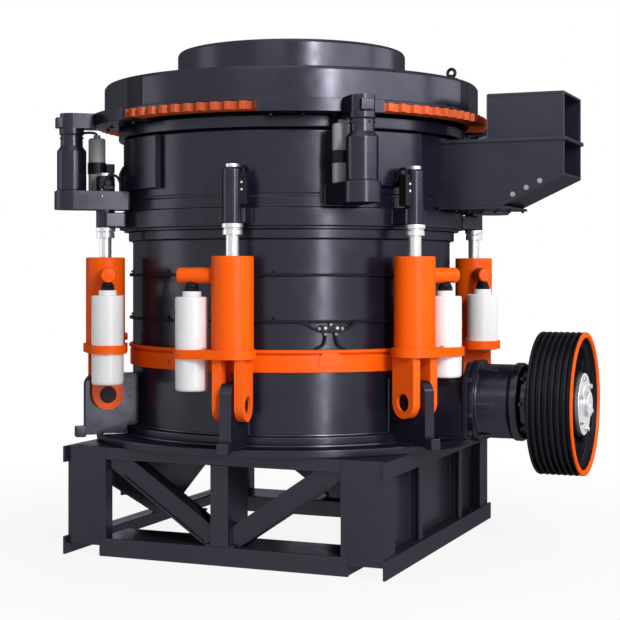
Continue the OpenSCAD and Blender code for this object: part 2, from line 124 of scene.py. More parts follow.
def surface(name, colour, rough, metal=0.0, vary=0.12, rough_vary=0.05, grain=240.0,
            grain_depth=0.00007, wave_depth=0.0008, coat=0.0, edge=0.0, specular=0.5,
            sheen=0.0, dust=0.0):
    """A finish with colour variation, uneven gloss, fine grain, slow waviness and a painted
    highlight on convex edges.

    Sheen is a gloss that stays as strong from the side as it is from the front.
    """
    mat = bpy.data.materials.new(name)
    mat.use_nodes = True
    mat.diffuse_color = (*colour, 1)
    tree = mat.node_tree
    link = tree.links.new
    shader = tree.nodes["Principled BSDF"]
    for key, value in (("Metallic", metal), ("Coat Weight", coat),
                       ("Coat Roughness", COAT_ROUGHNESS), ("Specular IOR Level", specular)):
        shader.inputs[key].default_value = value
    where = tree.nodes.new("ShaderNodeTexCoord").outputs["Object"]
    dark = tuple(c * (1 - vary) for c in colour)
    light = tuple(min(1.0, c * (1 + vary)) for c in colour)
    clouds = spread(tree, noise(tree, where, CLOUDS, 4.0), 0.35, 0.65, 0, 1)
    specks = spread(tree, noise(tree, where, SPECKS, 5.0, 0.6), 0.5, 0.8, 0, 0.3)
    tone = mixed(tree, specks, mixed(tree, clouds, dark, light), light)
    if dust:
        tone = dusted(tree, where, tone, dust)
    # Painted highlight: convex edges get a lighter colour, more so the sharper the edge.
    if edge:
        convex = tree.nodes.new("ShaderNodeNewGeometry").outputs["Pointiness"]
        edge_highlight = spread(tree, convex, HIGHLIGHT_EDGE_FROM, HIGHLIGHT_EDGE_TO, 0, edge)
        tone = mixed(tree, edge_highlight, tone, tuple(min(1.0, c * 1.5 + 0.06) for c in colour))
    link(tone, shader.inputs["Base Color"])
    gloss = spread(tree, noise(tree, where, SMUDGES, 5.0, 0.6), 0.3, 0.7, rough - rough_vary,
                   rough + rough_vary)
    link(gloss, shader.inputs["Roughness"])
    wave = node_of(tree, "ShaderNodeBump", Strength=1.0, Distance=wave_depth)
    link(noise(tree, where, WAVES, 2.0), wave.inputs["Height"])
    skin = node_of(tree, "ShaderNodeBump", Strength=1.0, Distance=grain_depth)
    link(noise(tree, where, grain, 2.0), skin.inputs["Height"])
    link(wave.outputs[0], skin.inputs["Normal"])
    link(skin.outputs[0], shader.inputs["Normal"])
    if sheen:
        lacquer = node_of(tree, "ShaderNodeBsdfAnisotropic",
                          Color=(sheen, sheen, sheen * SHEEN_BLUE, 1))
        link(gloss, lacquer.inputs["Roughness"])
        link(skin.outputs[0], lacquer.inputs["Normal"])
        joined_shaders(tree, "ShaderNodeAddShader", shader, lacquer,
                       tree.nodes["Material Output"].inputs["Surface"])
    return mat


# edge sets how strong the painted highlight on convex edges is.
FRAME = surface("frame_paint", (0.0067, 0.0065, 0.0143), 0.235, vary=0.14, edge=0.25,
                dust=0.015, specular=0.0, sheen=0.0298)
ORANGE = surface("orange_paint", (0.89, 0.105, 0.0015), 0.36, vary=0.05, edge=0.12,
                 specular=0.0, sheen=0.012)
GEAR_ORANGE = surface("gear_orange", (0.57, 0.094, 0.022), 0.5, vary=0.25, rough_vary=0.12,
                      edge=0.25, specular=0.0, sheen=0.015)
WHITE = surface("white_paint", (0.78, 0.78, 0.79), 0.26, vary=0.03, coat=0.1, specular=0.3)
GREY = surface("light_grey_paint", (0.32, 0.32, 0.33), 0.36, vary=0.08, edge=0.1, specular=0.0,
               sheen=0.02)
RUBBER = surface("black_rubber", (0.006, 0.006, 0.008), 0.45, vary=0.2, grain=500.0,
                 specular=0.0, sheen=0.014)
STEEL = surface("bright_steel", (0.62, 0.62, 0.64), 0.3, metal=0.85, vary=0.04,
                wave_depth=0.0002, grain_depth=0.00006)
ZINC = surface("plated_bolts", (0.36, 0.36, 0.38), 0.4, metal=0.9, vary=0.12)
LINER = surface("liner_steel", (0.17, 0.155, 0.15), 0.52, metal=0.7, vary=0.25,
                rough_vary=0.14, grain=120.0, grain_depth=0.0012)
IRON = surface("sheave_iron", (0.006, 0.006, 0.008), 0.42, vary=0.2, specular=0.0, sheen=0.014)

# ---------------------------------------------------------------- mesh tools

rad = math.radians
ORIGIN = Matrix()
AWAY = Matrix.Rotation(rad(90), 4, "Y")      # local Z to +X
SIDE = Matrix.Rotation(rad(-90), 4, "X")     # local Z to +Y
DOWN = Matrix.Rotation(math.pi, 4, "X")      # local Z to -Z
FRONT = SIDE @ DOWN                          # local Z to -Y
MIRROR_X = Matrix.Scale(-1, 4, (1, 0, 0))
MIRROR_Y = Matrix.Scale(-1, 4, (0, 1, 0))
WASHER = 0.003
SMOOTH_BELOW = 34                            # degrees between two faces
BEAD_STEP, RING_BEAD_STEP = 0.008, 0.012     # from rib to rib of a weld bead


def turn(degrees):
    return Matrix.Rotation(rad(degrees), 4, "Z")


def shift(x, y, z):
    return Matrix.Translation((x, y, z))


def polar(degrees, radius, z=0.0):
    return turn(degrees) @ shift(radius, 0, z)


def circle(x, y, radius, sides=32):
    return [(x + radius * math.cos(2 * math.pi * k / sides),
             y + radius * math.sin(2 * math.pi * k / sides)) for k in range(sides)]


def around(radius, z, count=180):
    """Points on a circle round the axis."""
    return [(x, y, z) for x, y in circle(0, 0, radius, count)]


def arc(x, y, radius, start, end, steps):
    """Points along a circle between two angles in degrees."""
    return [(x + radius * math.cos(rad(start + (end - start) * k / steps)),
             y + radius * math.sin(rad(start + (end - start) * k / steps)))
            for k in range(steps + 1)]


def both_sides(half):
    """A closed outline from its right half, listed upwards."""
    return half + [(-x, *rest) for x, *rest in reversed(half)]


def rim(radius, count, z, first=0.0):
    """Places round the axis for bolts that point up."""
    return [polar(first + 360 * k / count, radius, z) for k in range(count)]


def soften(bm, width, segments, angle=30):
    """Rounds the sharp edges."""
    edges = [e for e in bm.edges
             if e.is_manifold and e.calc_face_angle(0) > rad(angle)]
    if width > 0 and edges:
        bmesh.ops.bevel(bm, geom=edges, offset=width, segments=segments, profile=0.5,
                        affect="EDGES", clamp_overlap=True)
    return bm


def rounded(points, width=0.004, steps=3):
    """A closed outline with its corners rounded. A third number on a point is its own width."""
    out = []
    count = len(points)
    for i, point in enumerate(points):
        here = Vector(point[:2])
        size = point[2] if len(point) > 2 else width
        before = Vector(points[i - 1][:2]) - here
        after = Vector(points[(i + 1) % count][:2]) - here
        if size <= 0 or abs(before.cross(after)) < 1e-9:
            out.append(tuple(here))
            continue
        a = here + before.normalized() * min(size, before.length / 2.05)
        b = here + after.normalized() * min(size, after.length / 2.05)
        for k in range(steps + 1):
            t = k / steps
            out.append(tuple(a * (1 - t) ** 2 + here * 2 * t * (1 - t) + b * t * t))
    return out


def lathe(outline, turns, start=0.0, end=360.0):
    """A solid of revolution about Z from a closed outline of (radius, height)."""
    bm = bmesh.new()
    full = abs(end - start) >= 360
    rings = turns if full else turns + 1
    columns = []
    for k in range(rings):
        a = rad(start + (end - start) * k / turns)
        column = []
        for i, (r, z) in enumerate(outline):
            if abs(r) < 1e-7 and k and full:
                column.append(columns[0][i])
            else:
                column.append(bm.verts.new((r * math.cos(a), r * math.sin(a), z)))
        columns.append(column)
    for k in range(turns):
        one = columns[k]
        two = columns[(k + 1) % rings]
        for i in range(len(outline)):
            j = (i + 1) % len(outline)
            corner = []
            for v in (one[i], two[i], two[j], one[j]):
                if v not in corner:
                    corner.append(v)
            if len(corner) > 2:
                bm.faces.new(corner)
    if not full:
        bm.faces.new(columns[0])
        bm.faces.new(columns[-1])
    bmesh.ops.recalc_face_normals(bm, faces=bm.faces)
    return bm


def turned(outline, sides, width=0.004, steps=3, start=0.0, end=360.0):
    """A solid of revolution whose outline has rounded corners."""
    return lathe(rounded(outline, width, steps), sides, start, end)


def post(radius, z0, z1, edge, sides):
    """A round bar along Z with rounded rims."""
    return turned([(0, z0, 0), (radius, z0), (radius, z1), (0, z1, 0)], sides, edge)


def ring(inner, outer, z0, z1, edge, sides, start=0.0, end=360.0):
    return turned([(inner, z0), (outer, z0), (outer, z1), (inner, z1)], sides, edge,
                  start=start, end=end)


def block(x0, x1, y0, y1, z0, z1, edge=0.004, segments=2):
    bm = bmesh.new()
    bmesh.ops.create_cube(bm, size=1)
    for v in bm.verts:
        v.co = Vector(((x0 + x1) / 2 + v.co.x * (x1 - x0), (y0 + y1) / 2 + v.co.y * (y1 - y0),
                       (z0 + z1) / 2 + v.co.z * (z1 - z0)))
    return soften(bm, edge, segments)


def plate(outline, height, holes=(), edge=0.003):
    """A flat plate in XY with holes, from z 0 to its height."""
    loops = [list(outline)] + [list(h) for h in holes]
    flat = [Vector((x, y, 0)) for loop in loops for x, y in loop]
    bm = bmesh.new()
    low = [bm.verts.new(v) for v in flat]
    high = [bm.verts.new(v + Vector((0, 0, height))) for v in flat]
    for tri in tessellate_polygon([[Vector((x, y, 0)) for x, y in loop] for loop in loops]):
        bm.faces.new([low[i] for i in tri])
        bm.faces.new([high[i] for i in reversed(tri)])
    first = 0
    for loop in loops:
        n = len(loop)
        for k in range(n):
            a, b = first + k, first + (k + 1) % n
            bm.faces.new((low[a], low[b], high[b], high[a]))
        first += n
    bmesh.ops.recalc_face_normals(bm, faces=bm.faces)
    return soften(bm, edge, 2, 40)


def upright(outline, y0, y1, holes=(), edge=0.003):
    """A plate whose outline is in X and Z, from y0 to y1."""
    bm = plate(outline, y1 - y0, holes, edge)
    bm.transform(shift(0, y1, 0) @ Matrix.Rotation(rad(90), 4, "X"))
    return bm


def across(outline, x0, x1, edge=0.003):
    """A plate whose outline is in Y and Z, from x0 to x1."""
    bm = plate(outline, x1 - x0, (), edge)
    bm.transform(Matrix(((0, 0, 1, x0), (1, 0, 0, 0), (0, 1, 0, 0), (0, 0, 0, 1))))
    return bm


def pipe(points, radius, sides=10, ripple=0.0, closed=False):
    """A round tube swept along points, with closed ends. Ripple gives a weld bead's ribs."""
    path = [Vector(p) for p in points]
    bm = bmesh.new()
    count = len(path)
    normal = None
    rings = []
    for i, here in enumerate(path):
        if closed:
            ahead = path[(i + 1) % count] - path[i - 1]
        else:
            ahead = path[min(i + 1, count - 1)] - path[max(i - 1, 0)]
        ahead.normalize()
        if normal is None:
            normal = ahead.orthogonal().normalized()
        normal = (normal - ahead * normal.dot(ahead)).normalized()
        other = ahead.cross(normal)
        size = radius * (1 + ripple * (1 if i % 2 else -1))
        rings.append([bm.verts.new(here + (normal * math.cos(t) + other * math.sin(t)) * size)
                      for t in (2 * math.pi * k / sides for k in range(sides))])
    for i in range(count if closed else count - 1):
        one, two = rings[i], rings[(i + 1) % count]
        if closed and i == count - 1:
            best = min(range(sides), key=lambda s: (two[s].co - one[0].co).length)
            two = two[best:] + two[:best]
        for k in range(sides):
            j = (k + 1) % sides
            bm.faces.new((one[k], one[j], two[j], two[k]))
    if not closed:
        bm.faces.new(rings[0])
        bm.faces.new(rings[-1])
    bmesh.ops.recalc_face_normals(bm, faces=bm.faces)
    return bm


def hose(points, radius):
    """A hose on a smooth curve through the given points."""
    path = [Vector(p) for p in points]
    path = [path[0] * 2 - path[1]] + path + [path[-1] * 2 - path[-2]]
    steps = 6
    out = []
    for i in range(1, len(path) - 2):
        a, b, c, d = path[i - 1:i + 3]
        for k in range(steps):
            t = k / steps
            out.append(0.5 * (2 * b + (c - a) * t + (2 * a - 5 * b + 4 * c - d) * t * t
                              + (3 * b - a - 3 * c + d) * t ** 3))
    out.append(path[-2])
    return pipe(out, radius)


def bead(start, end, radius=0.005):
    """A straight weld bead."""
    a, b = Vector(start), Vector(end)
    steps = max(2, int((b - a).length / BEAD_STEP))
    return pipe([a.lerp(b, k / steps) for k in range(steps + 1)], radius, 6, 0.12)


def round_bead(radius, z, size=0.006):
    """A weld bead round the axis."""
    steps = int(2 * math.pi * radius / RING_BEAD_STEP)
    steps += steps % 2
    return pipe(around(radius, z, steps), size, 6, 0.1, True)


def bolt(size, height):
    """A hexagon head on a washer, along Z. The size is half the head's width over corners."""
    washer = turned([(0, 0, 0), (size * 1.35, 0), (size * 1.35, WASHER), (0, WASHER, 0)], 24, 0.001)
    head = lathe([(0, WASHER), (size, WASHER), (size, WASHER + height * 0.82),
                  (size * 0.86, WASHER + height), (0, WASHER + height)], 6)
    return joined([(washer, ORIGIN), (head, turn(13))])


def joined(parts):
    """One mesh from many (mesh, matrix) pairs."""
    out = bmesh.new()
    for part, matrix in parts:
        part.transform(matrix)
        if matrix.determinant() < 0:
            bmesh.ops.reverse_faces(part, faces=part.faces)
        mesh = bpy.data.meshes.new("part")
        part.to_mesh(mesh)
        part.free()
        out.from_mesh(mesh)
        bpy.data.meshes.remove(mesh)
    return out


pieces = []


class Piece:
    """Gathers meshes that become one named object."""

    def __init__(self, name, material, body, *nodes):
        self.name, self.material, self.body, self.nodes = name, material, body, nodes
        self.parts = []
        pieces.append(self)

    def add(self, place, *meshes):
        self.parts += [(bm, place) for bm in meshes]

    def bolts(self, places, size, height):
        for place in places:
            self.add(place, bolt(size, height))
        return self

    def done(self):
        bm = joined(self.parts)
        mesh = bpy.data.meshes.new(self.name)
        bm.to_mesh(mesh)
        bm.free()
        mesh.materials.append(self.material)
        mesh.polygons.foreach_set("use_smooth", [True] * len(mesh.polygons))
        mesh.set_sharp_from_angle(angle=rad(SMOOTH_BELOW))
        obj = bpy.data.objects.new(self.name, mesh)
        bpy.context.scene.collection.objects.link(obj)
        even = obj.modifiers.new("even", "WEIGHTED_NORMAL")
        even.keep_sharp = True
        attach(obj, self.body)
        if self.nodes:
            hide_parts(*self.nodes)


# ---------------------------------------------------------------- sizes from the frame


def low(node, axis=2):
    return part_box(node)[0][axis]


def high(node, axis=2):
    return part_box(node)[1][axis]


PLATE = 0.014                # welded plates' thickness
LAP = 0.002                  # how far welded plates run into each other
BARREL_FOOT, RING_FLANGE = 0.048, 0.026
EAR_R, EAR_H = 0.08, 0.306
NECK, CHAMFER = 0.027, 0.026

STAND_X, RAIL_END, STAND_TOP = (high("stand_side_right", axis) for axis in range(3))
STAND_Y = high("stand_columns", 1)
WEB_X = low("stand_side_right", 0)
RAIL_TOP = high("stand_rails")
SKIN_Y = STAND_Y - 0.016
COLUMN_IN, COLUMN_OUT, COLUMN_Y = 0.65, STAND_X - PLATE, STAND_Y - 0.16
SIDE_LOW = STAND_TOP - RAIL_TOP + 0.01
FOOT_X = 0.69

DECK_R, DECK_TOP = high("deck_plate", 0), high("deck_plate")
FOOT_R, SEAT = high("main_frame", 0), high("main_frame")
BARREL_R = FOOT_R - BARREL_FOOT
FLANGE_R, RING_TOP = high("adjusting_ring", 0), high("adjusting_ring")
RING_R = FLANGE_R - RING_FLANGE
BOWL_R = RING_R - 0.13
GEAR_LOW, GEAR_TOP = low("drive_gear_ring"), high("drive_gear_ring")
CAP_R, CAP_TOP = high("adjusting_cap", 0), high("adjusting_cap")
FEED_R, FEED_TOP = high("feed_ring", 0), high("feed_ring")

AXLE_Z = (low("countershaft") + high("countershaft")) / 2
SHEAVE_X, SHEAVE_END = low("sheave", 0), high("sheave", 0)
SHEAVE_R = high("sheave") - AXLE_Z
SHAFT_LINE = shift(0, 0, AXLE_Z) @ AWAY
SHEAVE_LINE = shift(SHEAVE_X, 0, AXLE_Z) @ AWAY

CYL_TOP, BARREL_LOW = high("tramp_cylinder_1"), low("tramp_cylinder_1") + EAR_H
PIN_Z = low("tramp_cylinder_1") + EAR_R
ACC_TOP = high("accumulators") - NECK
STRAP_LOW, STRAP_TOP = low("accumulator_straps"), high("accumulator_straps")
LUG_TOP = high("rod_lugs")
SLEEVE_LOW, SLEEVE_TOP = low("rod_sleeves"), high("rod_sleeves") - CHAMFER
BRACKET_LOW, BRACKET_TOP = low("clamp_brackets"), low("clamp_cylinders")
ARM_LOW, ARM_TOP = low("clamp_arms"), high("clamp_arms")
GUARD_LOW, GUARD_TOP = low("gear_guards"), high("gear_guards")

CYL_R, ACC_R, ROD_R, SLEEVE_R = 0.104, 0.083, 0.033, 0.05
CYL_PCD = BARREL_R + 0.064 + CYL_R
CLAMP_PCD = RING_R + 0.295
ACC_STEP = math.degrees(2 * math.asin((CYL_R + ACC_R + 0.024) / (2 * CYL_PCD)))
CYL_ANGLES = (-139, -83, -31, 31, 83, 139)
ACC_OUT = (0.052, 0.015, 0.015, 0.015, 0.015, 0.052)
ACC_HEIGHT = (0.465, 0.465, 0.415, 0.31, 0.465, 0.465)
ACC_SIDE = (1, -1, 1, -1, 1, -1)
VALVE_SIDE = (1, 1, -1, -1, -1, -1)
CLAMP_ANGLES = (-51, -141, 129, 39)
GUARD_SPANS = ((-75.7, -43), (-150.5, -117.8), (104.3, 137), (29.5, 62.2))
JUNCTION_ANGLES = (-54.5, 65.5, 180)

# ---------------------------------------------------------------- stand


def side_frame(name, node, place, edge_z, rib_z):
    """Rails, web plate, ribs and anchor pads of the right side, mirrored for the left."""
    web, web_top = STAND_X - PLATE, SIDE_LOW + 0.005
    step_y, gap_y = 0.11, 0.05
    rib_y, rib_half, pad_y, pad_half = 0.36, 0.025, 0.5, 0.06
    piece = Piece(name, FRAME, "base", node)
    for z0, z1 in ((0, RAIL_TOP), (SIDE_LOW, STAND_TOP)):
        piece.add(place, block(web, STAND_X, -RAIL_END, RAIL_END, z0, z1),
                  block(WEB_X, web + LAP, -SKIN_Y, SKIN_Y, z1 - PLATE, z1))
        for y0, y1 in ((-SKIN_Y, -gap_y), (gap_y, SKIN_Y)):
            piece.add(place, bead((web, y0, z1 - PLATE), (web, y1, z1 - PLATE)))
    piece.add(place, block(WEB_X, web + LAP, -SKIN_Y, SKIN_Y, SIDE_LOW, SIDE_LOW + PLATE),
              across(both_sides([(step_y, RAIL_TOP - 0.004), (COLUMN_Y, edge_z),
                                 (COLUMN_Y, web_top)]), WEB_X, WEB_X + PLATE))
    for y in (-rib_y, rib_y):
        piece.add(place, block(WEB_X + LAP, web - 0.004, y - PLATE / 2, y + PLATE / 2, rib_z,
                               web_top),
                  block(web - PLATE, web, y - rib_half, y + rib_half, rib_z, web_top, 0.003))
        for side in (y - PLATE / 2, y + PLATE / 2):
            piece.add(place, bead((WEB_X + PLATE, side, max(rib_z, RAIL_TOP)),
                                  (WEB_X + PLATE, side, SIDE_LOW)))
    for y in (-pad_y, pad_y):
        pad = rounded([(WEB_X, y - pad_half), (web + LAP, y - pad_half),
                       (web + LAP, y + pad_half), (WEB_X, y + pad_half)], 0.008)
        piece.add(place, plate(pad, PLATE, [circle(STAND_X - 0.045, y, 0.014)]))


side_frame("side_frame_right", "stand_side_right", ORIGIN, RAIL_TOP - 0.004, RAIL_TOP - 0.004)
side_frame("side_frame_left", "stand_side_left", MIRROR_X, RAIL_TOP + 0.299,
           RAIL_TOP + 0.13)

rails = Piece("end_rails", FRAME, "base", "stand_rails")
RAIL_BACK = -STAND_Y + 0.3
for place in (ORIGIN, MIRROR_Y):
    rails.add(place, block(-FOOT_X, FOOT_X, -STAND_Y, -STAND_Y + PLATE, 0, RAIL_TOP),
              block(-FOOT_X, FOOT_X, RAIL_BACK - PLATE, RAIL_BACK, 0, RAIL_TOP),
              block(-FOOT_X, FOOT_X, -STAND_Y + 0.004, RAIL_BACK - 0.004, RAIL_TOP - PLATE,
                    RAIL_TOP))
    for x in (-0.683, -0.45, -0.15, 0.15, 0.45, 0.683):
        rails.add(place, block(x - PLATE / 2, x + PLATE / 2, -STAND_Y + PLATE, RAIL_BACK - PLATE,
                               0.006, RAIL_TOP - PLATE, 0.002))


def truss(name, node, place):
    """Top beam on a post, with a brace up to each corner. Y runs from its front face."""
    depth, half = 0.24, 0.05
    beam_low = STAND_TOP - 0.063
    brace_low = beam_low - 0.036
    brace_y = (0.03, 0.13)
    face = place @ shift(0, -STAND_Y, 0)
    brace = [(half - LAP, RAIL_TOP), (half * 2, RAIL_TOP), (COLUMN_IN, brace_low),
             (COLUMN_IN, beam_low + LAP), (COLUMN_IN - 0.14, beam_low + LAP),
             (half - LAP, RAIL_TOP + 0.095)]
    slope = Vector((COLUMN_IN - half * 2, brace_low - RAIL_TOP)).normalized()
    start = Vector((half * 2 + 0.01, RAIL_TOP + 0.008))
    end = start + slope * 0.55
    inset = Vector((-slope.y, slope.x)) * 0.005
    rib = [tuple(start + inset), tuple(end + inset), tuple(end + inset * 3),
           tuple(start + inset * 3)]
    piece = Piece(name, FRAME, "base", node)
    piece.add(face, block(-COLUMN_IN, COLUMN_IN, 0, depth, beam_low, STAND_TOP),
              block(-half, half, 0, depth, RAIL_TOP, beam_low),
              block(-half - 0.03, half + 0.03, 0.004, depth, RAIL_TOP, RAIL_TOP + 0.01, 0.002),
              bead((-half, 0.002, beam_low), (half, 0.002, beam_low), 0.004))
    for side in (face, face @ MIRROR_X):
        piece.add(side, upright(brace, *brace_y), upright(rib, 0.018, 0.034, edge=0.002),
                  bead((half, 0.004, RAIL_TOP + 0.002), (half, depth, RAIL_TOP + 0.002)))
        for y in brace_y:
            piece.add(side, bead((half, y, RAIL_TOP + 0.01), (half, y, RAIL_TOP + 0.09), 0.004),
                      bead((COLUMN_IN - 0.135, y, beam_low), (COLUMN_IN, y, beam_low), 0.004))


truss("front_truss", "stand_truss_front", ORIGIN)
truss("back_truss", "stand_truss_back", MIRROR_Y)

columns = Piece("corner_columns", FRAME, "base", "stand_columns")
FOOT_Z = 0.055
FLANGE_Y = -STAND_Y + 0.072
for mirror in (ORIGIN, MIRROR_X):
    for place in (mirror, MIRROR_Y @ mirror):
        for end, y0, y1 in ((COLUMN_OUT, -STAND_Y, -SKIN_Y), (WEB_X, -SKIN_Y - LAP, FLANGE_Y)):
            face = [(FOOT_X, FOOT_Z), (end, FOOT_Z), (end, STAND_TOP), (COLUMN_IN, STAND_TOP),
                    (COLUMN_IN, RAIL_TOP), (FOOT_X, RAIL_TOP)]
            columns.add(place, upright(face, y0, y1))
        # The second block closes the gap behind the flange, under the deck.
        columns.add(place, block(WEB_X - 0.003, COLUMN_OUT, -SKIN_Y - LAP, -COLUMN_Y, RAIL_TOP,
                                 SIDE_LOW),
                    block(COLUMN_IN, WEB_X + LAP, FLANGE_Y - LAP, -COLUMN_Y + 0.07,
                          STAND_TOP - PLATE, STAND_TOP - 0.001),
                    bead((WEB_X + PLATE, -COLUMN_Y, RAIL_TOP + 0.299),
                         (WEB_X + PLATE, -COLUMN_Y, SIDE_LOW), 0.004))
        for z in (RAIL_TOP, SIDE_LOW):
            columns.add(place, bead((COLUMN_OUT, -STAND_Y + 0.01, z), (COLUMN_OUT, -COLUMN_Y, z)))

INNER_R, LIP_R = BARREL_R - 0.04, BARREL_R + 0.023
FOOT_TOP, LIP_LOW = DECK_TOP + 0.047, SEAT - 0.05
Piece("deck", FRAME, "base", "deck_plate").add(
    ORIGIN, ring(INNER_R, DECK_R, STAND_TOP, DECK_TOP, 0.005, 180),
    round_bead(FOOT_R + 0.001, DECK_TOP + 0.001))

# ---------------------------------------------------------------- main frame

Piece("main_frame_barrel", FRAME, "base", "main_frame").add(ORIGIN, turned([
    (INNER_R, DECK_TOP, 0), (FOOT_R, DECK_TOP, 0.003), (FOOT_R, FOOT_TOP, 0.008),
    (BARREL_R, FOOT_TOP), (BARREL_R, LIP_LOW, 0.006), (LIP_R, LIP_LOW, 0.005),
    (LIP_R, SEAT, 0.006), (INNER_R, SEAT)], 216),
    round_bead(BARREL_R + 0.001, FOOT_TOP + 0.003),
    round_bead(BARREL_R + 0.001, LIP_LOW - 0.002, 0.004))

HUB_R, HUB_NECK_R, BORE_R = 0.3, 0.19, 0.15
hub_low, hub_top = low("frame_hub"), high("frame_hub")
hub_step = hub_top - 0.3
arm_low, arm_top = DECK_TOP + 0.06, DECK_TOP + 0.32
hub = Piece("hub_and_arms", FRAME, "base", "frame_hub")
hub.add(ORIGIN, turned([
    (0, hub_low, 0), (HUB_R, hub_low), (HUB_R, hub_step, 0.03), (HUB_NECK_R, hub_step),
    (HUB_NECK_R, hub_top, 0.01), (0, hub_top, 0)], 96, 0.02))
for angle in (90, 180, 270):
    hub.add(turn(angle),
            block(0.28, INNER_R + 0.005, -0.055, 0.055, arm_low, arm_top, 0.015, 3),
            block(0.28, INNER_R + 0.005, -0.075, 0.075, arm_top - 0.03, arm_top + 0.004, 0.012))
hub.add(SHAFT_LINE, post(BORE_R, 0.25, INNER_R + 0.005, 0.004, 64),
        ring(BORE_R, BORE_R + 0.022, 0.29, 0.33, 0.008, 64))
hub.add(ORIGIN, round_bead(HUB_R + 0.001, arm_top))

BAND_LOW = DECK_TOP + 0.364
BAND_TOP = BAND_LOW + 0.085
PIPE_Z = BAND_TOP + 0.019
band = Piece("band_round_barrel", ORANGE, "base", "support_band")
band.add(ORIGIN, ring(BARREL_R - 0.001, BARREL_R + 0.015, BAND_LOW, BAND_TOP, 0.004, 216),
         pipe(around(BARREL_R + 0.012, PIPE_Z), 0.0105, 12, closed=True),
         ring(BARREL_R - 0.001, BARREL_R + 0.002, BAND_TOP - 0.004, PIPE_Z, 0, 216))
hump = rounded(both_sides([(0.06, BAND_LOW + 0.03), (0.06, BAND_TOP - 0.01),
                           (0.04, BAND_TOP + 0.014)]), 0.012)
for angle in JUNCTION_ANGLES:
    band.add(turn(angle), across(hump, BARREL_R + 0.004, BARREL_R + 0.02))
band.bolts([turn(a) @ shift(BARREL_R + 0.014, y, BAND_LOW + 0.042) @ AWAY
            for a in (-110, 5, 120) for y in (-0.03, 0.03)], 0.009, 0.009)

# ---------------------------------------------------------------- tramp release cylinders

LUG_IN, LUG_OUT, LUG_HALF = BARREL_R - 0.005, CYL_PCD + 0.113, 0.03
LUG_PLATE_TOP = PIN_Z + 0.11
PIN_HOLE_R = 0.045
lugs = Piece("cylinder_lug_plates", FRAME, "base", "cylinder_lugs")
lug_side = rounded([
    (LUG_IN, DECK_TOP, 0), (LUG_OUT, DECK_TOP, 0), (LUG_OUT, PIN_Z + 0.07, 0.02),
    (LUG_OUT - 0.035, LUG_PLATE_TOP, 0.02), (LUG_IN, LUG_PLATE_TOP, 0)])
for angle in CYL_ANGLES:
    lugs.add(turn(angle), upright(lug_side, -LUG_HALF, LUG_HALF,
                                  [circle(CYL_PCD, PIN_Z, PIN_HOLE_R)], 0.004),
             block(LUG_OUT - 0.005, LUG_OUT + 0.049, -LUG_HALF, LUG_HALF, DECK_TOP - 0.012,
                   DECK_TOP + 0.045, 0.006))
    for y in (-LUG_HALF, LUG_HALF):
        lugs.add(turn(angle), bead((BARREL_R + 0.001, y, DECK_TOP + 0.05),
                                   (BARREL_R + 0.001, y, LUG_PLATE_TOP), 0.006),
                 bead((FOOT_R, y, DECK_TOP + 0.002), (DECK_R - 0.01, y, DECK_TOP + 0.002)))

pins = Piece("clevis_pins", IRON, "base", "cylinder_pins")
for angle in CYL_ANGLES:
    pins.add(polar(angle, CYL_PCD, PIN_Z) @ SIDE,
             post(PIN_HOLE_R - 0.0005, -0.066, 0.066, 0.005, 40),
             ring(0.012, 0.03, 0.06, 0.069, 0.002, 32))


def cylinder_body(number):
    """Barrel with gland, base plate, port boss and the two clevis ears."""
    piece = Piece(f"cylinder_body_{number}", ORANGE, "base", f"tramp_cylinder_{number}")
    place = polar(CYL_ANGLES[number - 1], CYL_PCD)
    bore, gland = ROD_R + 0.003, 0.058
    piece.add(place, turned([
        (0, BARREL_LOW, 0), (CYL_R - 0.004, BARREL_LOW), (CYL_R, BARREL_LOW + 0.006),
        (CYL_R, CYL_TOP - 0.04, 0), (CYL_R, CYL_TOP, 0.007), (gland, CYL_TOP),
        (gland, CYL_TOP - 0.012, 0), (bore, CYL_TOP - 0.014, 0), (bore, CYL_TOP - 0.05, 0),
        (0, CYL_TOP - 0.05, 0)], 96, 0.003))
    ear = ([(-EAR_R, BARREL_LOW + 0.004)] + arc(0, PIN_Z, EAR_R, 180, 360, 28)
           + [(EAR_R, BARREL_LOW + 0.004)])
    for y0, y1, face in ((0.034, 0.079, 0.079), (-0.079, -0.034, -0.079)):
        piece.add(place, upright(ear, y0, y1, [circle(0, PIN_Z, PIN_HOLE_R)], 0),
                  bead((-0.068, face, BARREL_LOW), (0.068, face, BARREL_LOW)))
    piece.add(place @ turn(180) @ shift(0, 0, BARREL_LOW + 0.08) @ AWAY,
              post(0.02, CYL_R - 0.01, CYL_R + 0.014, 0.003, 24))


for number in range(1, 7):
    cylinder_body(number)

glands = Piece("rod_glands", STEEL, "base")
for angle in CYL_ANGLES:
    glands.add(polar(angle, CYL_PCD, CYL_TOP),
               ring(ROD_R + 0.0008, 0.057, -0.02, -0.004, 0.003, 64))


def feed_frame(index):
    """Place at a cylinder's axis with X towards its accumulator, and the distance between."""
    start = Vector(polar(CYL_ANGLES[index], CYL_PCD).translation)
    end = Vector(polar(CYL_ANGLES[index] + ACC_SIDE[index] * ACC_STEP,
                       CYL_PCD + ACC_OUT[index]).translation)
    way = end - start
    return shift(*start) @ Matrix.Rotation(math.atan2(way.y, way.x), 4, "Z"), way.length


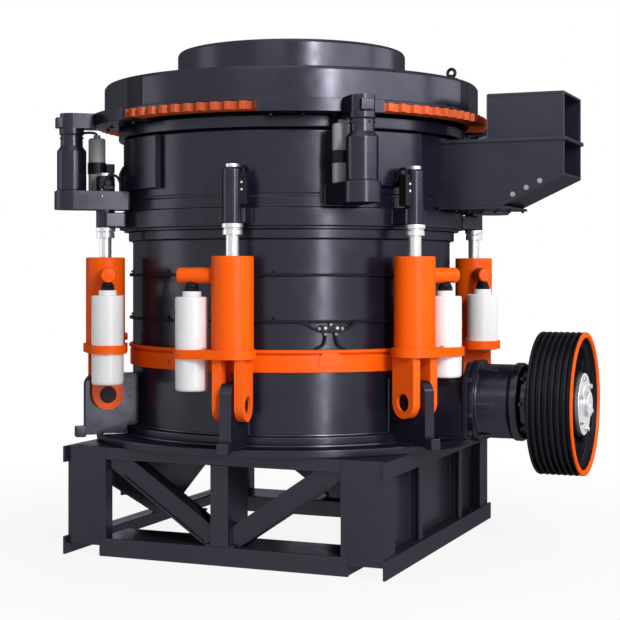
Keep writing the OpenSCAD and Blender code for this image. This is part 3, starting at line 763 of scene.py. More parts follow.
FEED_RISE, FEED_PIPE_R = 0.105, 0.039
STRAP_WALL = 0.014
bottles = Piece("accumulator_bottles", WHITE, "base", "accumulators")
feeds = Piece("accumulator_feed_pipes", ORANGE, "base", "accumulator_feeds")
caps = Piece("accumulator_fittings", RUBBER, "base")
straps = Piece("cylinder_straps", ORANGE, "base", "accumulator_straps")
strap_bolts = Piece("strap_bolts", ZINC, "base")
for index in range(6):
    place, span = feed_frame(index)
    bottle = place @ shift(span, 0, ACC_TOP)
    line = place @ shift(0, 0, ACC_TOP + FEED_RISE) @ AWAY
    foot = -ACC_HEIGHT[index]
    bottles.add(bottle, turned([
        (0, foot + 0.006, 0), (0.048, foot + 0.006), (0.054, foot), (ACC_R, foot, 0.02),
        (ACC_R, 0, 0.011), (0.047, 0, 0.003), (0.047, NECK), (0, NECK, 0)], 72, steps=5))
    feeds.add(line, turned([
        (0, CYL_R - 0.01, 0), (FEED_PIPE_R, CYL_R - 0.01, 0), (FEED_PIPE_R, span + 0.072),
        (0, span + 0.072, 0)], 48, 0.011, 5),
        ring(0.037, 0.044, CYL_R - 0.004, CYL_R + 0.006, 0.004, 48),
        turned([(0, span + 0.064, 0), (0.019, span + 0.064, 0.001), (0.019, span + 0.074),
                (0, span + 0.074, 0)], 6, 0.002))
    caps.add(bottle, turned([
        (0, 0.02, 0), (0.038, 0.02, 0.002), (0.038, 0.046), (0.027, 0.05),
        (0.027, FEED_RISE - 0.03, 0), (0, FEED_RISE - 0.03, 0)], 6, 0.003),
        post(0.032, 0.048, 0.06, 0.003, 32))
    lean = math.degrees(math.acos((CYL_R - ACC_R) / span))
    outer = (arc(0, 0, CYL_R + STRAP_WALL, lean, 360 - lean, 40)
             + arc(span, 0, ACC_R + STRAP_WALL, -lean, lean, 32))
    holes = [circle(0, 0, CYL_R, 48), circle(span, 0, ACC_R, 48)]
    straps.add(place @ shift(0, 0, STRAP_LOW - 0.004),
               plate(outer, STRAP_TOP - STRAP_LOW + 0.004, holes))
    strap_bolts.bolts([place @ shift(span * 0.58, y, STRAP_TOP) for y in (-0.07, 0.07)],
                      0.008, 0.008)

# ---------------------------------------------------------------- hoses on the barrel

HOSE_LEVELS = (low("hose_ring") + 0.009, high("hose_ring") - 0.009)
hoses = Piece("barrel_hoses", RUBBER, "base", "hose_ring")
clips = Piece("hose_clips", IRON, "base")
for level in HOSE_LEVELS:
    hoses.add(ORIGIN, pipe(around(BARREL_R + 0.009, level), 0.0075, closed=True))
    for k in range(9):
        place = polar(40 * k + 7, BARREL_R, level)
        clips.add(place, block(-0.001, 0.0185, -0.006, 0.006, -0.01, 0.01, 0.003),
                  block(-0.001, 0.003, -0.006, 0.006, -0.01, 0.026, 0.001))
        clips.bolts([place @ shift(0.003, 0, 0.019) @ AWAY], 0.0045, 0.004)

BLOCK_LOW = DECK_TOP + 0.563
SPIGOT_R = 0.009
blocks = Piece("hose_junction_blocks", RUBBER, "base", "hose_junctions")
fittings = Piece("hose_fittings", ZINC, "base")
for angle in JUNCTION_ANGLES:
    place = polar(angle, BARREL_R, BLOCK_LOW)
    blocks.add(place, block(-0.002, 0.034, -0.052, 0.052, 0, 0.036),
               block(-0.002, 0.008, -0.07, 0.07, 0.004, 0.028, 0.002))
    for side, out in ((-1, FRONT), (1, SIDE)):
        blocks.add(place, hose([(0.022, 0.028 * side, 0.002), (0.022, 0.028 * side, -0.03),
                                (0.02, 0.04 * side, -0.062),
                                (0.015, 0.075 * side, PIPE_Z + 0.014 - BLOCK_LOW)], 0.006),
                   hose([(0.02, 0.052 * side, 0.02), (0.02, 0.09 * side, 0.022),
                         (0.014, 0.125 * side, 0.045),
                         (0.01, 0.16 * side, HOSE_LEVELS[0] - BLOCK_LOW)], 0.006))
        fittings.add(place @ shift(0.022, 0.028 * side, 0),
                     post(SPIGOT_R, -0.012, 0.001, 0.002, 6))
        fittings.add(place @ shift(0.02, 0, 0.02) @ out, post(SPIGOT_R, 0.048, 0.066, 0.002, 6))
    fittings.bolts([place @ shift(0.033, y, 0.024) @ AWAY for y in (-0.03, 0.03)], 0.006, 0.005)
    fittings.add(place @ shift(0.018, 0, 0), post(SPIGOT_R, 0.034, 0.048, 0.002, 24))

# ---------------------------------------------------------------- countershaft and sheave

FLANGE_X = high("countershaft_housing", 0) - 0.32
FLANGE_LINE = SHAFT_LINE @ shift(0, 0, FLANGE_X)
SHAFT_R, TUBE_R, COVER_R = 0.065, 0.195, 0.165
housing = Piece("shaft_housing", FRAME, "base", "countershaft_housing")
saddle = rounded(both_sides([(0.23, DECK_TOP), (0.23, AXLE_Z - 0.02),
                             (0.165, AXLE_Z + 0.104)]), 0.02)
wall = rounded(both_sides([(0.24, DECK_TOP + 0.001), (0.24, AXLE_Z + 0.13),
                           (0.16, AXLE_Z + 0.21)]), 0.03)
housing.add(ORIGIN, across(saddle, BARREL_R - 0.03, FLANGE_X + 0.002, 0.006),
            across(wall, FLANGE_X, FLANGE_X + 0.025, 0.004))
housing.add(FLANGE_LINE, turned([
    (0.07, 0, 0), (0.215, 0, 0), (0.215, 0.05, 0.005), (TUBE_R, 0.05, 0.012),
    (TUBE_R, 0.222, 0.01), (0.205, 0.232), (0.205, 0.268), (TUBE_R, 0.28, 0.004),
    (COVER_R, 0.28), (COVER_R, 0.312, 0.008), (0.12, 0.32), (0.07, 0.32, 0.003)],
    96, 0.006))
for k in range(6):
    housing.add(shift(FLANGE_X, 0, AXLE_Z) @ Matrix.Rotation(rad(60 * k + 30), 4, "X"),
                upright([(0.048, 0.192), (0.048, 0.212), (0.16, 0.194), (0.16, 0.188)],
                        -0.008, 0.008))
for y in (-0.23, 0.23):
    housing.add(ORIGIN, bead((BARREL_R + 0.05, y, DECK_TOP + 0.002),
                             (FLANGE_X, y, DECK_TOP + 0.002)))

Piece("housing_bolts", FRAME, "base").bolts(
    [shift(FLANGE_X + 0.025, y, AXLE_Z + z) @ AWAY
     for z in (0.12, -0.06, -0.155) for y in (-0.205, 0.205)], 0.014, 0.014).bolts(
    [FLANGE_LINE @ place for place in rim(0.18, 8, 0.28)], 0.0105, 0.011).bolts(
    [FLANGE_LINE @ place for place in rim(0.143, 12, 0.3145, 15)], 0.006, 0.006)

WIDTH = SHEAVE_END - SHEAVE_X
GROOVES = 7
PITCH = (WIDTH - 0.02) / GROOVES
RIM_IN, FACE_IN = SHEAVE_R - 0.062, SHEAVE_R - 0.027
HUB_OUT, HUB_FACE, BUSH_R = 0.17, WIDTH - 0.032, 0.12
# Painted shade: below PAINT_LOW the inner side of the rim is dark iron, for the shade in the rim's
# recess; the outer grooves are the iron's own colour.
PAINT_LOW = WIDTH - 0.012


def groove_outline():
    """Outer side of the rim, up to the painted end ring."""
    points = [(SHEAVE_R - 0.003, 0.0, 0.002), (SHEAVE_R, 0.004, 0.002)]
    for k in range(GROOVES):
        middle = 0.01 + PITCH * (k + 0.5)
        for dx, dr in ((-0.36, 0), (-0.2, 0.026), (0.2, 0.026), (0.36, 0)):
            points.append((SHEAVE_R - dr, min(middle + PITCH * dx, PAINT_LOW), 0.0015))
    return points


sheave = Piece("grooved_sheave", IRON, "drive_sheave", "sheave")
web = WIDTH * 0.4
sheave.add(SHEAVE_LINE, turned(groove_outline() + [
    (SHEAVE_R - 0.004, PAINT_LOW, 0.001), (FACE_IN - 0.003, PAINT_LOW, 0),
    (FACE_IN - 0.006, WIDTH - 0.034, 0.002), (RIM_IN, WIDTH - 0.042),
    (RIM_IN - 0.008, web + 0.045, 0.015), (HUB_OUT + 0.005, web + 0.045, 0.015),
    (HUB_OUT, HUB_FACE), (BUSH_R, HUB_FACE, 0), (BUSH_R, 0.02), (HUB_OUT, 0.02, 0.006),
    (HUB_OUT + 0.005, web, 0.012), (RIM_IN - 0.008, web, 0.015), (RIM_IN, 0.0, 0.003)], 160))
for k in range(8):
    sheave.add(SHEAVE_LINE @ turn(45 * k), block(0.165, RIM_IN - 0.002, -0.011, 0.011,
                                                 web + 0.04, web + 0.085, 0.005))

Piece("sheave_end_ring", ORANGE, "drive_sheave").add(SHEAVE_LINE, turned([
    (SHEAVE_R - 0.002, PAINT_LOW + 0.0005), (SHEAVE_R, WIDTH - 0.003, 0.003),
    (SHEAVE_R - 0.006, WIDTH), (FACE_IN, WIDTH, 0.004), (FACE_IN - 0.003, PAINT_LOW + 0.0005, 0)],
    160, 0.002))

bush = Piece("taper_bush", STEEL, "drive_sheave", "sheave_bush")
bush.add(SHEAVE_LINE, turned([
    (SHAFT_R + 0.0005, 0.02, 0.002), (BUSH_R - 0.001, 0.02, 0.002),
    (BUSH_R - 0.001, HUB_FACE + 0.001, 0), (0.16, HUB_FACE + 0.001), (0.16, WIDTH - 0.008, 0.004),
    (0.1, WIDTH - 0.004, 0.004), (0.094, WIDTH), (SHAFT_R + 0.0005, WIDTH)], 96, 0.003))
bush.bolts([SHEAVE_LINE @ place for place in rim(0.132, 6, WIDTH - 0.006, 10)], 0.013, 0.012)

SHAFT_LOW, SHAFT_END = low("countershaft", 0), high("countershaft", 0)
Piece("shaft_end", STEEL, "drive_sheave", "countershaft").add(SHAFT_LINE, turned([
    (0, SHAFT_LOW, 0), (SHAFT_R, SHAFT_LOW, 0.005), (SHAFT_R, SHAFT_END, 0.006),
    (0.016, SHAFT_END, 0.003), (0.006, SHAFT_END - 0.012, 0), (0, SHAFT_END - 0.012, 0)], 64),
    block(-0.01, 0.01, 0.05, 0.0685, SHEAVE_X + 0.03, SHEAVE_END + 0.012, 0.003))

# ---------------------------------------------------------------- crushing chamber

Piece("mantle_casting", LINER, "base", "mantle").add(shift(0, 0, SEAT - 0.32), turned([
    (0, 0, 0), (0.2, 0), (0.56, -0.06), (0.65, -0.06), (0.655, -0.01),
    (0.56, 0.17, 0.1), (0.4, 0.43, 0.1), (0.25, 0.64, 0.04), (0.215, 0.7, 0.02),
    (0, 0.7, 0)], 128, 0.01, 5))

feed_plate = Piece("distributor", LINER, "base", "distributor_plate")
plate_place = shift(0, 0, low("distributor_plate"))
feed_plate.add(plate_place, turned([
    (0, 0, 0), (0.265, 0, 0.004), (0.265, 0.022), (0.1, 0.024, 0.006), (0.086, 0.046),
    (0, 0.048, 0)], 96, 0.008))
feed_plate.bolts([plate_place @ place for place in rim(0.18, 6, 0.022, 15)], 0.014, 0.012)

# ---------------------------------------------------------------- upper frame

FLANGE_TOP = SEAT + 0.105
GROOVE_R = RING_R - 0.005
PAD_IN, PAD_R, PAD_LOW = RING_R - 0.006, RING_R + 0.035, BRACKET_TOP + 0.0002
upper = Piece("adjusting_ring_casting", FRAME, "upper_frame", "adjusting_ring")
upper.add(ORIGIN, turned([
    (BOWL_R, SEAT, 0), (RING_R, SEAT, 0), (RING_R, SEAT + 0.012, 0.004),
    (FLANGE_R, SEAT + 0.012, 0.005), (FLANGE_R, FLANGE_TOP, 0.008), (RING_R, FLANGE_TOP, 0.006),
    (RING_R, FLANGE_TOP + 0.052), (GROOVE_R, FLANGE_TOP + 0.058), (GROOVE_R, FLANGE_TOP + 0.066),
    (RING_R, FLANGE_TOP + 0.072), (RING_R, RING_TOP - 0.012, 0.006),
    (RING_R - 0.008, RING_TOP, 0.004), (BOWL_R, RING_TOP, 0)], 216, 0.003))
for angle in CLAMP_ANGLES:
    upper.add(ORIGIN, turned([(PAD_IN, PAD_LOW), (PAD_R, PAD_LOW, 0.008),
                              (PAD_R, RING_TOP - 0.01, 0.008), (PAD_IN, RING_TOP - 0.01)],
                             18, start=angle + 5.5, end=angle + 27.5))

LUG_WIDE = 0.068
lug_blocks = Piece("rod_lug_blocks", FRAME, "upper_frame", "rod_lugs")
for angle in CYL_ANGLES:
    lug_blocks.add(turn(angle), block(RING_R - 0.01, CYL_PCD + 0.012, -LUG_WIDE, LUG_WIDE,
                                      SLEEVE_LOW, LUG_TOP, 0.008, 3),
                   *(bead((FLANGE_R, y, SLEEVE_LOW + 0.004), (FLANGE_R, y, LUG_TOP - 0.004))
                     for y in (-LUG_WIDE, LUG_WIDE)))

COLLAR_LOW = SEAT - 0.037
COLLAR_R, COLLAR_NECK = SLEEVE_R + 0.003, SLEEVE_R - 0.001
rods = Piece("piston_rods", STEEL, "upper_frame", "tramp_rods")
for angle in CYL_ANGLES:
    rods.add(polar(angle, CYL_PCD, COLLAR_LOW),
             post(ROD_R - 0.0002, low("tramp_rods") - COLLAR_LOW, 0.002, 0.003, 56),
             turned([(0, 0, 0), (COLLAR_NECK, 0, 0.003), (COLLAR_NECK, 0.026),
                     (COLLAR_R - 0.008, 0.029, 0), (COLLAR_R - 0.008, 0.033, 0),
                     (COLLAR_R, 0.036), (COLLAR_R, 0.057, 0.003), (0, 0.057, 0)], 56, 0.002))

SLEEVE_H = SLEEVE_TOP - SLEEVE_LOW
sleeves = Piece("rod_end_sleeves", FRAME, "upper_frame", "rod_sleeves")
tips = Piece("rod_end_tips", STEEL, "upper_frame")
valves = Piece("rod_end_valves", RUBBER, "upper_frame")
for angle, side in zip(CYL_ANGLES, VALVE_SIDE):
    place = polar(angle, CYL_PCD, SLEEVE_TOP)
    sleeves.add(place, turned([
        (0, -SLEEVE_H, 0), (SLEEVE_R, -SLEEVE_H), (SLEEVE_R, -0.012), (SLEEVE_R - 0.006, 0),
        (0, 0, 0)], 56), ring(SLEEVE_R - 0.002, SLEEVE_R + 0.001, -0.052, -0.04, 0.001, 56))
    tips.add(place, post(0.034, -0.002, 0.018, 0.004, 48))
    valve_low = (LUG_TOP + 0.012 if abs(angle) < 130 else BRACKET_TOP + 0.006) - SLEEVE_TOP
    y = 0.056 * side
    valves.add(place, block(-0.028, 0.028, y - 0.026, y + 0.026, valve_low, -0.052, 0.005),
               block(-0.018, 0.018, y - 0.018, y + 0.018, -0.054, -0.026),
               hose([(0, y, -0.032), (0, y, -0.01), (-0.02, y, 0.004), (-0.055, y, -0.008),
                     (-0.078, y, -0.06)], 0.0075))
    for z in (-0.075, -0.11):
        tips.add(place @ shift(0, y, z) @ AWAY, post(0.007, 0.026, 0.032, 0.002, 6))


def round_ended(start, half, corner, steps):
    """Outline of a bar from X start to the clamp cylinders' circle, with a round end."""
    return rounded([(start, -half, corner), (CLAMP_PCD, -half, 0)]
                   + [(x, y, 0) for x, y in arc(CLAMP_PCD, 0, half, -85, 85, steps)]
                   + [(CLAMP_PCD, half, 0), (start, half, corner)])


BRACKET_H, BRACKET_HALF = BRACKET_TOP - BRACKET_LOW, 0.092
CLAMP_H, CLAMP_R = ARM_LOW - BRACKET_TOP, 0.078
BOTTLE_R, BOTTLE_H = 0.046, high("clamp_accumulators") - 0.019 - BRACKET_TOP
GUSSET_IN = RING_R - 0.005
brackets = Piece("clamp_bracket_arms", FRAME, "upper_frame", "clamp_brackets")
clamps = Piece("clamp_cylinder_bodies", FRAME, "upper_frame", "clamp_cylinders")
clamp_bolts = Piece("clamp_bolts", FRAME, "upper_frame")
arms = Piece("clamp_arm_blocks", FRAME, "upper_frame", "clamp_arms")
clamp_bottles = Piece("clamp_bottles", GREY, "upper_frame", "clamp_accumulators")
manifolds = Piece("clamp_manifolds", RUBBER, "upper_frame")
for angle in CLAMP_ANGLES:
    place = polar(angle, 0, BRACKET_TOP)
    axis = polar(angle, CLAMP_PCD, BRACKET_TOP)
    brackets.add(place @ shift(0, 0, -BRACKET_H),
                 plate(round_ended(RING_R - 0.01, BRACKET_HALF, 0, 24), BRACKET_H, edge=0.006))
    brackets.add(axis, ring(0.076, 0.083, -0.002, 0.006, 0.003, 72))
    brackets.add(place, upright([(GUSSET_IN, -0.004), (RING_R + 0.039, -0.004),
                                 (RING_R + 0.039, 0.1), (RING_R + 0.02, 0.14),
                                 (GUSSET_IN, 0.14)], -0.018, 0.018),
                 *(bead((RING_R + 0.001, y, -BRACKET_H), (RING_R + 0.001, y, 0), 0.006)
                   for y in (-BRACKET_HALF, BRACKET_HALF)))
    clamps.add(axis, turned([
        (0, 0, 0), (CLAMP_R - 0.004, 0, 0.002), (CLAMP_R, 0.01), (CLAMP_R, 0.214, 0.004),
        (0.06, 0.238, 0.006), (0.058, 0.3, 0.004), (0.066, 0.304), (0.066, CLAMP_H),
        (0, CLAMP_H, 0)], 72, 0.003))
    clamp_bolts.bolts([axis @ spot @ AWAY for spot in rim(0.057, 8, 0.285, 20)], 0.006, 0.005)
    arms.add(polar(angle, 0, ARM_LOW),
             plate(round_ended(CAP_R + 0.06, 0.062, 0.006, 20), ARM_TOP - ARM_LOW, edge=0.007),
             block(CLAMP_PCD + 0.04, CLAMP_PCD + 0.085, -0.032, 0.032, 0.002, 0.058, 0.005))
    bottle = polar(angle - 3, CLAMP_PCD - 0.142, BRACKET_TOP)
    clamp_bottles.add(bottle, turned([
        (0, 0, 0), (BOTTLE_R, 0), (BOTTLE_R, BOTTLE_H, 0.014), (0.019, BOTTLE_H, 0.003),
        (0.019, BOTTLE_H + 0.018, 0.003), (0, BOTTLE_H + 0.018, 0)], 56, 0.01, 4))
    manifolds.add(bottle, ring(BOTTLE_R - 0.0005, BOTTLE_R + 0.004, 0.098, 0.16, 0.003, 56),
                  block(-0.094, -0.048, -0.022, 0.022, 0.104, 0.154),
                  hose([(-0.07, 0, 0.108), (-0.07, 0, 0.07), (-0.074, 0.012, 0.03),
                        (-0.078, 0.02, 0.002)], 0.0085),
                  hose([(0, 0, BOTTLE_H + 0.014), (0.01, 0, BOTTLE_H + 0.028),
                        (0.05, 0.006, BOTTLE_H + 0.03), (0.084, 0.02, BOTTLE_H + 0.02),
                        (0.098, 0.03, BOTTLE_H - 0.01)], 0.007))

GUARD_IN = CAP_R + 0.057
guards = Piece("gear_guard_plates", FRAME, "upper_frame", "gear_guards")
guard_bolts = Piece("guard_bolts", FRAME, "upper_frame")
for first, last in GUARD_SPANS:
    guards.add(ORIGIN,
               ring(GUARD_IN, GUARD_IN + 0.022, GUARD_LOW, GUARD_TOP, 0.003, 36, first, last),
               ring(RING_R + 0.006, GUARD_IN + LAP, GUARD_LOW, GUARD_LOW + 0.009, 0.002, 36,
                    first, last))
    guard_bolts.bolts([polar(first + 3 + (last - first - 6) * k / 3, GUARD_IN - 0.08, GUARD_LOW)
                       @ DOWN for k in range(4)], 0.008, 0.007)

Piece("clamp_ring_plate", FRAME, "upper_frame", "clamp_ring").add(
    ORIGIN, ring(BOWL_R, RING_R + 0.03, RING_TOP, high("clamp_ring"), 0.006, 216))

# ---------------------------------------------------------------- drive box

BOX_TOP = high("drive_box")
BOX_Y, BOX_END = high("drive_box", 1) - 0.012, high("drive_box", 0) - 0.012
BOX_IN = BOX_Y - PLATE + 0.001
WALL_X, CUT_X, CUT_Z = CAP_R + 0.143, BOX_END - 0.32, SEAT + 0.27
FLOOR_X, FLOOR_Z, SHELF_Z = RING_R - 0.01, SEAT + 0.12, SEAT + 0.459
box_shell = Piece("drive_box_shell", FRAME, "upper_frame", "drive_box")
side = [(RING_R - 0.03, FLOOR_Z), (CUT_X, FLOOR_Z), (BOX_END, CUT_Z), (BOX_END, BOX_TOP),
        (WALL_X, BOX_TOP), (WALL_X, SHELF_Z), (RING_R - 0.03, SHELF_Z)]
slant = [(CUT_X - 0.002, FLOOR_Z + 0.001), (BOX_END, CUT_Z + 0.001), (BOX_END, CUT_Z + 0.015),
         (CUT_X - 0.006, FLOOR_Z + PLATE)]
# X and Z from and to: top, end wall, floor and shelf between the two sides.
walls = ((WALL_X, BOX_END, BOX_TOP - PLATE, BOX_TOP),
         (WALL_X, WALL_X + PLATE, SHELF_Z, BOX_TOP - 0.004),
         (FLOOR_X, CUT_X, FLOOR_Z, FLOOR_Z + PLATE),
         (FLOOR_X, WALL_X + 0.004, SHELF_Z - PLATE, SHELF_Z))
# X, Y and Z from and to: two long strips and a cross strip at shelf level, and the foot plate.
strips = ((RING_R + 0.01, BOX_END + 0.012, -BOX_Y - 0.012, -BOX_Y + 0.004, SHELF_Z - 0.01,
           SHELF_Z + 0.01),
          (RING_R + 0.01, BOX_END + 0.012, BOX_Y - 0.004, BOX_Y + 0.012, SHELF_Z - 0.01,
           SHELF_Z + 0.01),
          (BOX_END - 0.22, BOX_END + 0.012, -BOX_Y - 0.004, BOX_Y + 0.004, SHELF_Z - 0.01,
           SHELF_Z + 0.01),
          (FLOOR_X, CUT_X + 0.03, -BOX_Y, BOX_Y, FLOOR_Z - 0.013, FLOOR_Z + 0.001))
box_shell.add(ORIGIN, upright(side, -BOX_Y, -BOX_Y + PLATE), upright(side, BOX_Y - PLATE, BOX_Y),
              upright(slant, -BOX_IN, BOX_IN),
              *(block(x0, x1, -BOX_IN, BOX_IN, z0, z1, 0.003) for x0, x1, z0, z1 in walls),
              *(block(*sizes, 0.003) for sizes in strips))
for x in (WALL_X + 0.12, WALL_X + 0.24):
    for y0, y1 in ((-BOX_IN, -BOX_IN + 0.03), (BOX_IN - 0.03, BOX_IN)):
        box_shell.add(ORIGIN, block(x, x + 0.012, y0, y1, SHELF_Z + 0.012, BOX_TOP - PLATE, 0.002))
for y in (-BOX_Y, BOX_Y):
    box_shell.add(ORIGIN, bead((WALL_X + 0.01, y, BOX_TOP - PLATE),
                               (BOX_END - 0.01, y, BOX_TOP - PLATE), 0.003),
                  bead((RING_R + 0.03, y, FLOOR_Z + 0.001), (CUT_X, y, FLOOR_Z + 0.001), 0.004),
                  bead((WALL_X, y, SHELF_Z + 0.012), (WALL_X, y, BOX_TOP - 0.006), 0.003))

Piece("drive_box_bolts", ZINC, "upper_frame").bolts(
    [shift(CUT_X + 0.055 + 0.07 * k, face, FLOOR_Z + 0.06 + 0.033 * k) @ out
     for face, out in ((-BOX_Y, FRONT), (BOX_Y, SIDE)) for k in range(3)], 0.01, 0.008)
Piece("drive_box_floor_bolts", FRAME, "upper_frame").bolts(
    [shift(RING_R + 0.06 + 0.075 * k, y, FLOOR_Z - 0.013) @ DOWN
     for k in range(5) for y in (-0.12, 0.12)], 0.009, 0.008)

# ---------------------------------------------------------------- bowl

FEED_IN, BOWL_IN = FEED_R - 0.034, BOWL_R - 0.06
THREAD_R, SPIGOT_OUT, SKIRT_R = BOWL_R - 0.0005, BOWL_R + 0.005, CAP_R - 0.003
SEAT_IN = SEAT + 0.04
Piece("adjusting_cap_cover", FRAME, "bowl", "adjusting_cap").add(ORIGIN, turned([
    (FEED_IN, GEAR_TOP + 0.06, 0), (BOWL_IN, GEAR_TOP + 0.06, 0), (BOWL_IN, SEAT_IN, 0),
    (THREAD_R, SEAT_IN, 0), (THREAD_R, GEAR_TOP - 0.02, 0), (SPIGOT_OUT, GEAR_TOP - 0.01, 0),
    (SPIGOT_OUT, GEAR_TOP, 0), (CAP_R, GEAR_TOP, 0.004), (CAP_R, GEAR_TOP + 0.012),
    (SKIRT_R, GEAR_TOP + 0.016), (SKIRT_R, CAP_TOP - 0.016, 0.004), (CAP_R - 0.014, CAP_TOP, 0.005),
    (FEED_IN, CAP_TOP)], 240, 0.002),
    ring(FEED_R - 0.004, FEED_R + 0.016, CAP_TOP - 0.001, CAP_TOP + 0.01, 0.004, 180))

# Painted shade: thin dark strips stand for the shade inside the cap's recessed slots.
Piece("cap_slot_painted_shade", IRON, "bowl").add(ORIGIN, *(
    ring(CAP_R - 0.01, CAP_R - 0.0005, GEAR_TOP + 0.002, CAP_TOP - 0.01, 0.002, 8, angle - half,
         angle + half)
    for angle, half in ((-118.3, 3.7), (-5.2, 2.8), (61.7, 3.7), (174.8, 2.8))))
Piece("cap_bolts", FRAME, "bowl").bolts(
    rim(FEED_R + 0.06, 24, CAP_TOP, 7.5), 0.014, 0.012).bolts(
    rim(CAP_R - 0.1, 24, CAP_TOP), 0.01, 0.007)

Piece("feed_ring_casting", FRAME, "bowl", "feed_ring").add(ORIGIN, turned([
    (FEED_IN, CAP_TOP, 0), (FEED_R, CAP_TOP, 0), (FEED_R, CAP_TOP + 0.024, 0.002),
    (FEED_R - 0.004, CAP_TOP + 0.028, 0.002), (FEED_R - 0.004, FEED_TOP - 0.014),
    (FEED_R - 0.012, FEED_TOP, 0.005), (FEED_IN + 0.004, FEED_TOP),
    (FEED_IN, FEED_TOP - 0.006, 0.003)], 200))

TEETH = 90
ROOT_R, TIP_R = CAP_R + 0.026, CAP_R + 0.047
outline = []
for k in range(TEETH):
    for offset, radius in ((-0.024, ROOT_R), (-0.014, TIP_R - 0.002), (0.0, TIP_R),
                           (0.014, TIP_R - 0.002), (0.024, ROOT_R)):
        a = 2 * math.pi * k / TEETH + offset / radius
        outline.append((radius * math.cos(a), radius * math.sin(a)))
Piece("drive_gear_teeth", GEAR_ORANGE, "bowl", "drive_gear_ring").add(
    shift(0, 0, GEAR_LOW),
    plate(outline, GEAR_TOP - GEAR_LOW - 0.003, [circle(0, 0, CAP_R - 0.055, 180)]))

LINER_LOW, LINER_TOP = low("bowl_liner"), high("bowl_liner")
Piece("bowl_liner_casting", LINER, "bowl", "bowl_liner").add(ORIGIN, turned([
    (BOWL_IN, SEAT_IN, 0), (BOWL_IN, LINER_TOP, 0), (FEED_IN + 0.006, LINER_TOP, 0.004),
    (FEED_IN + 0.036, SEAT + 0.3, 0.08), (BOWL_IN - 0.025, LINER_LOW + 0.13, 0.04),
    (BOWL_IN - 0.015, LINER_LOW), (BOWL_IN + 0.02, LINER_LOW),
    (BOWL_IN + 0.02, SEAT + 0.02, 0.004), (BOWL_IN + 0.008, SEAT_IN, 0)], 160, 0.008, 5))

EYE_R, EYE_Z = 0.021, 0.038
eyes = Piece("lifting_eyes", IRON, "bowl", "lifting_lugs")
for angle in (-6, 174):
    eyes.add(polar(angle, CAP_R - 0.075, CAP_TOP), post(0.033, 0, 0.012, 0.004, 40),
             post(0.013, 0.01, 0.03, 0.003, 24),
             pipe([(x, 0, z) for x, z in circle(0, EYE_Z, EYE_R, 36)], 0.0085, 12, closed=True))

for piece in pieces:
    piece.done()

# ---------------------------------------------------------------- scene

WHITE_LIGHT = (1, 1, 1, 1)
SKY, SKY_STRENGTH = (0.92, 0.94, 1.0, 1), 0.195
GROUND_HALF, GROUND_Z, GROUND_GREY = 40, -0.0015, 0.45
GLOW_FROM, GLOW_TO, GLOW_LEAST = 1.4, 3.6, 0.9      # where the floor turns all white
AIM = Vector((0, 0, 1.3))


def seen(tree):
    """1 for rays that show a background: to the camera, or by a mirror or glass."""
    rays = tree.nodes.new("ShaderNodeLightPath")
    first = combined(tree, "MAXIMUM", rays.outputs["Is Camera Ray"], rays.outputs["Is Glossy Ray"])
    return combined(tree, "MAXIMUM", first, rays.outputs["Is Transmission Ray"])


world = bpy.data.worlds.new("studio")
bpy.context.scene.world = world
world.use_nodes = True
tree = world.node_tree
tree.nodes.clear()
soft = node_of(tree, "ShaderNodeBackground", Color=SKY, Strength=SKY_STRENGTH)
white = node_of(tree, "ShaderNodeBackground", Color=WHITE_LIGHT, Strength=1.0)
joined_shaders(tree, "ShaderNodeMixShader", soft, white,
               tree.nodes.new("ShaderNodeOutputWorld").inputs[0], seen(tree))

pale = bpy.data.materials.new("floor_pale")
pale.use_nodes = True
tree = pale.node_tree
base = tree.nodes["Principled BSDF"]
for key, value in (("Base Color", (GROUND_GREY, GROUND_GREY, GROUND_GREY, 1)), ("Roughness", 0.9),
                   ("Specular IOR Level", 0.1)):
    base.inputs[key].default_value = value
glow = node_of(tree, "ShaderNodeEmission", Color=WHITE_LIGHT, Strength=1.0)
reach = node_of(tree, "ShaderNodeVectorMath", operation="LENGTH")
tree.links.new(tree.nodes.new("ShaderNodeTexCoord").outputs["Object"], reach.inputs[0])
share = spread(tree, reach.outputs["Value"], GLOW_FROM, GLOW_TO, GLOW_LEAST, 1.0)
joined_shaders(tree, "ShaderNodeMixShader", base, glow,
               tree.nodes["Material Output"].inputs[0],
               combined(tree, "MULTIPLY", share, seen(tree)))

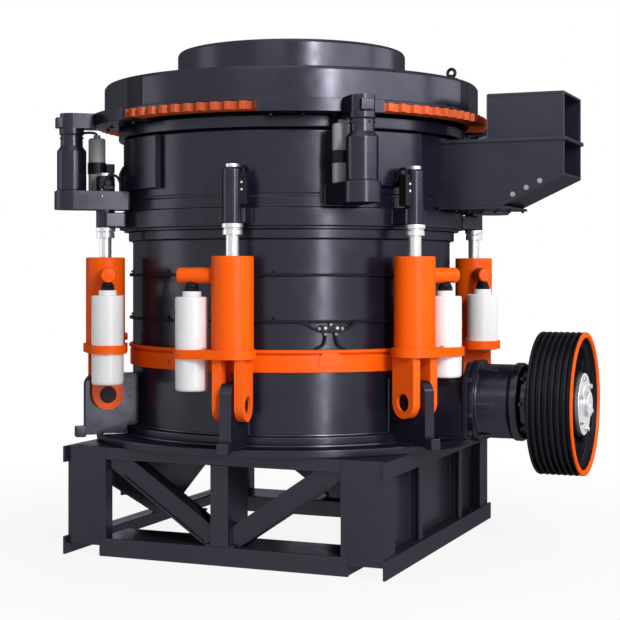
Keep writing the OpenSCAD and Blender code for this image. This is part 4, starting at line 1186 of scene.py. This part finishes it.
floor_mesh = bpy.data.meshes.new("floor")
floor_mesh.from_pydata([(x * GROUND_HALF, y * GROUND_HALF, 0)
                        for x, y in ((-1, -1), (1, -1), (1, 1), (-1, 1))], [], [(0, 1, 2, 3)])
floor_mesh.materials.append(pale)
floor = bpy.data.objects.new("floor", floor_mesh)
bpy.context.scene.collection.objects.link(floor)
floor.location.z = GROUND_Z


def lamp(name, azimuth, distance, height, width, tall, power):
    """A soft box. Azimuth is its place round the object, as the camera's is."""
    light = bpy.data.lights.new(name, "AREA")
    light.shape = "RECTANGLE"
    light.size, light.size_y = width, tall
    light.energy = power
    obj = bpy.data.objects.new(name, light)
    obj.location = polar(azimuth - 90, distance, height).translation
    obj.rotation_euler = (AIM - obj.location).to_track_quat("-Z", "Y").to_euler()
    bpy.context.scene.collection.objects.link(obj)


lamp("key_strip", 44, 6.5, 2.4, 0.55, 6.0, 172)
lamp("upper_strip", 44, 6.4, 3.9, 0.55, 1.7, 112)
lamp("shoulder_box", 50, 6.4, 3.9, 2.4, 1.7, 53)
lamp("left_box", -66, 7.0, 2.4, 2.6, 4.0, 59)
lamp("front_box", 4, 7.0, 4.6, 3.4, 2.0, 37)
lamp("right_box", 78, 6.5, 3.4, 6.2, 1.8, 140)
lamp("far_right_box", 124, 6.5, 3.4, 3.4, 1.8, 83)
lamp("back_box", 210, 7.0, 3.0, 4.0, 3.0, 175)
lamp("top_box", 20, 2.0, 7.0, 4.0, 4.0, 55)

CAMERA_AZIMUTH, CAMERA_PLACE = 22.25, (3.136, -7.393, 1.472)
SENSOR, LENS, HORIZON_SHIFT = 36, 83.23, -0.0613
camera = bpy.data.objects.new("camera", bpy.data.cameras.new("camera"))
bpy.context.scene.collection.objects.link(camera)
camera.location = CAMERA_PLACE
camera.rotation_euler = (rad(90), 0, rad(CAMERA_AZIMUTH))
camera.data.sensor_width = SENSOR
camera.data.lens = LENS
camera.data.shift_y = HORIZON_SHIFT
bpy.context.scene.camera = camera
bpy.context.scene.view_settings.view_transform = "Standard"
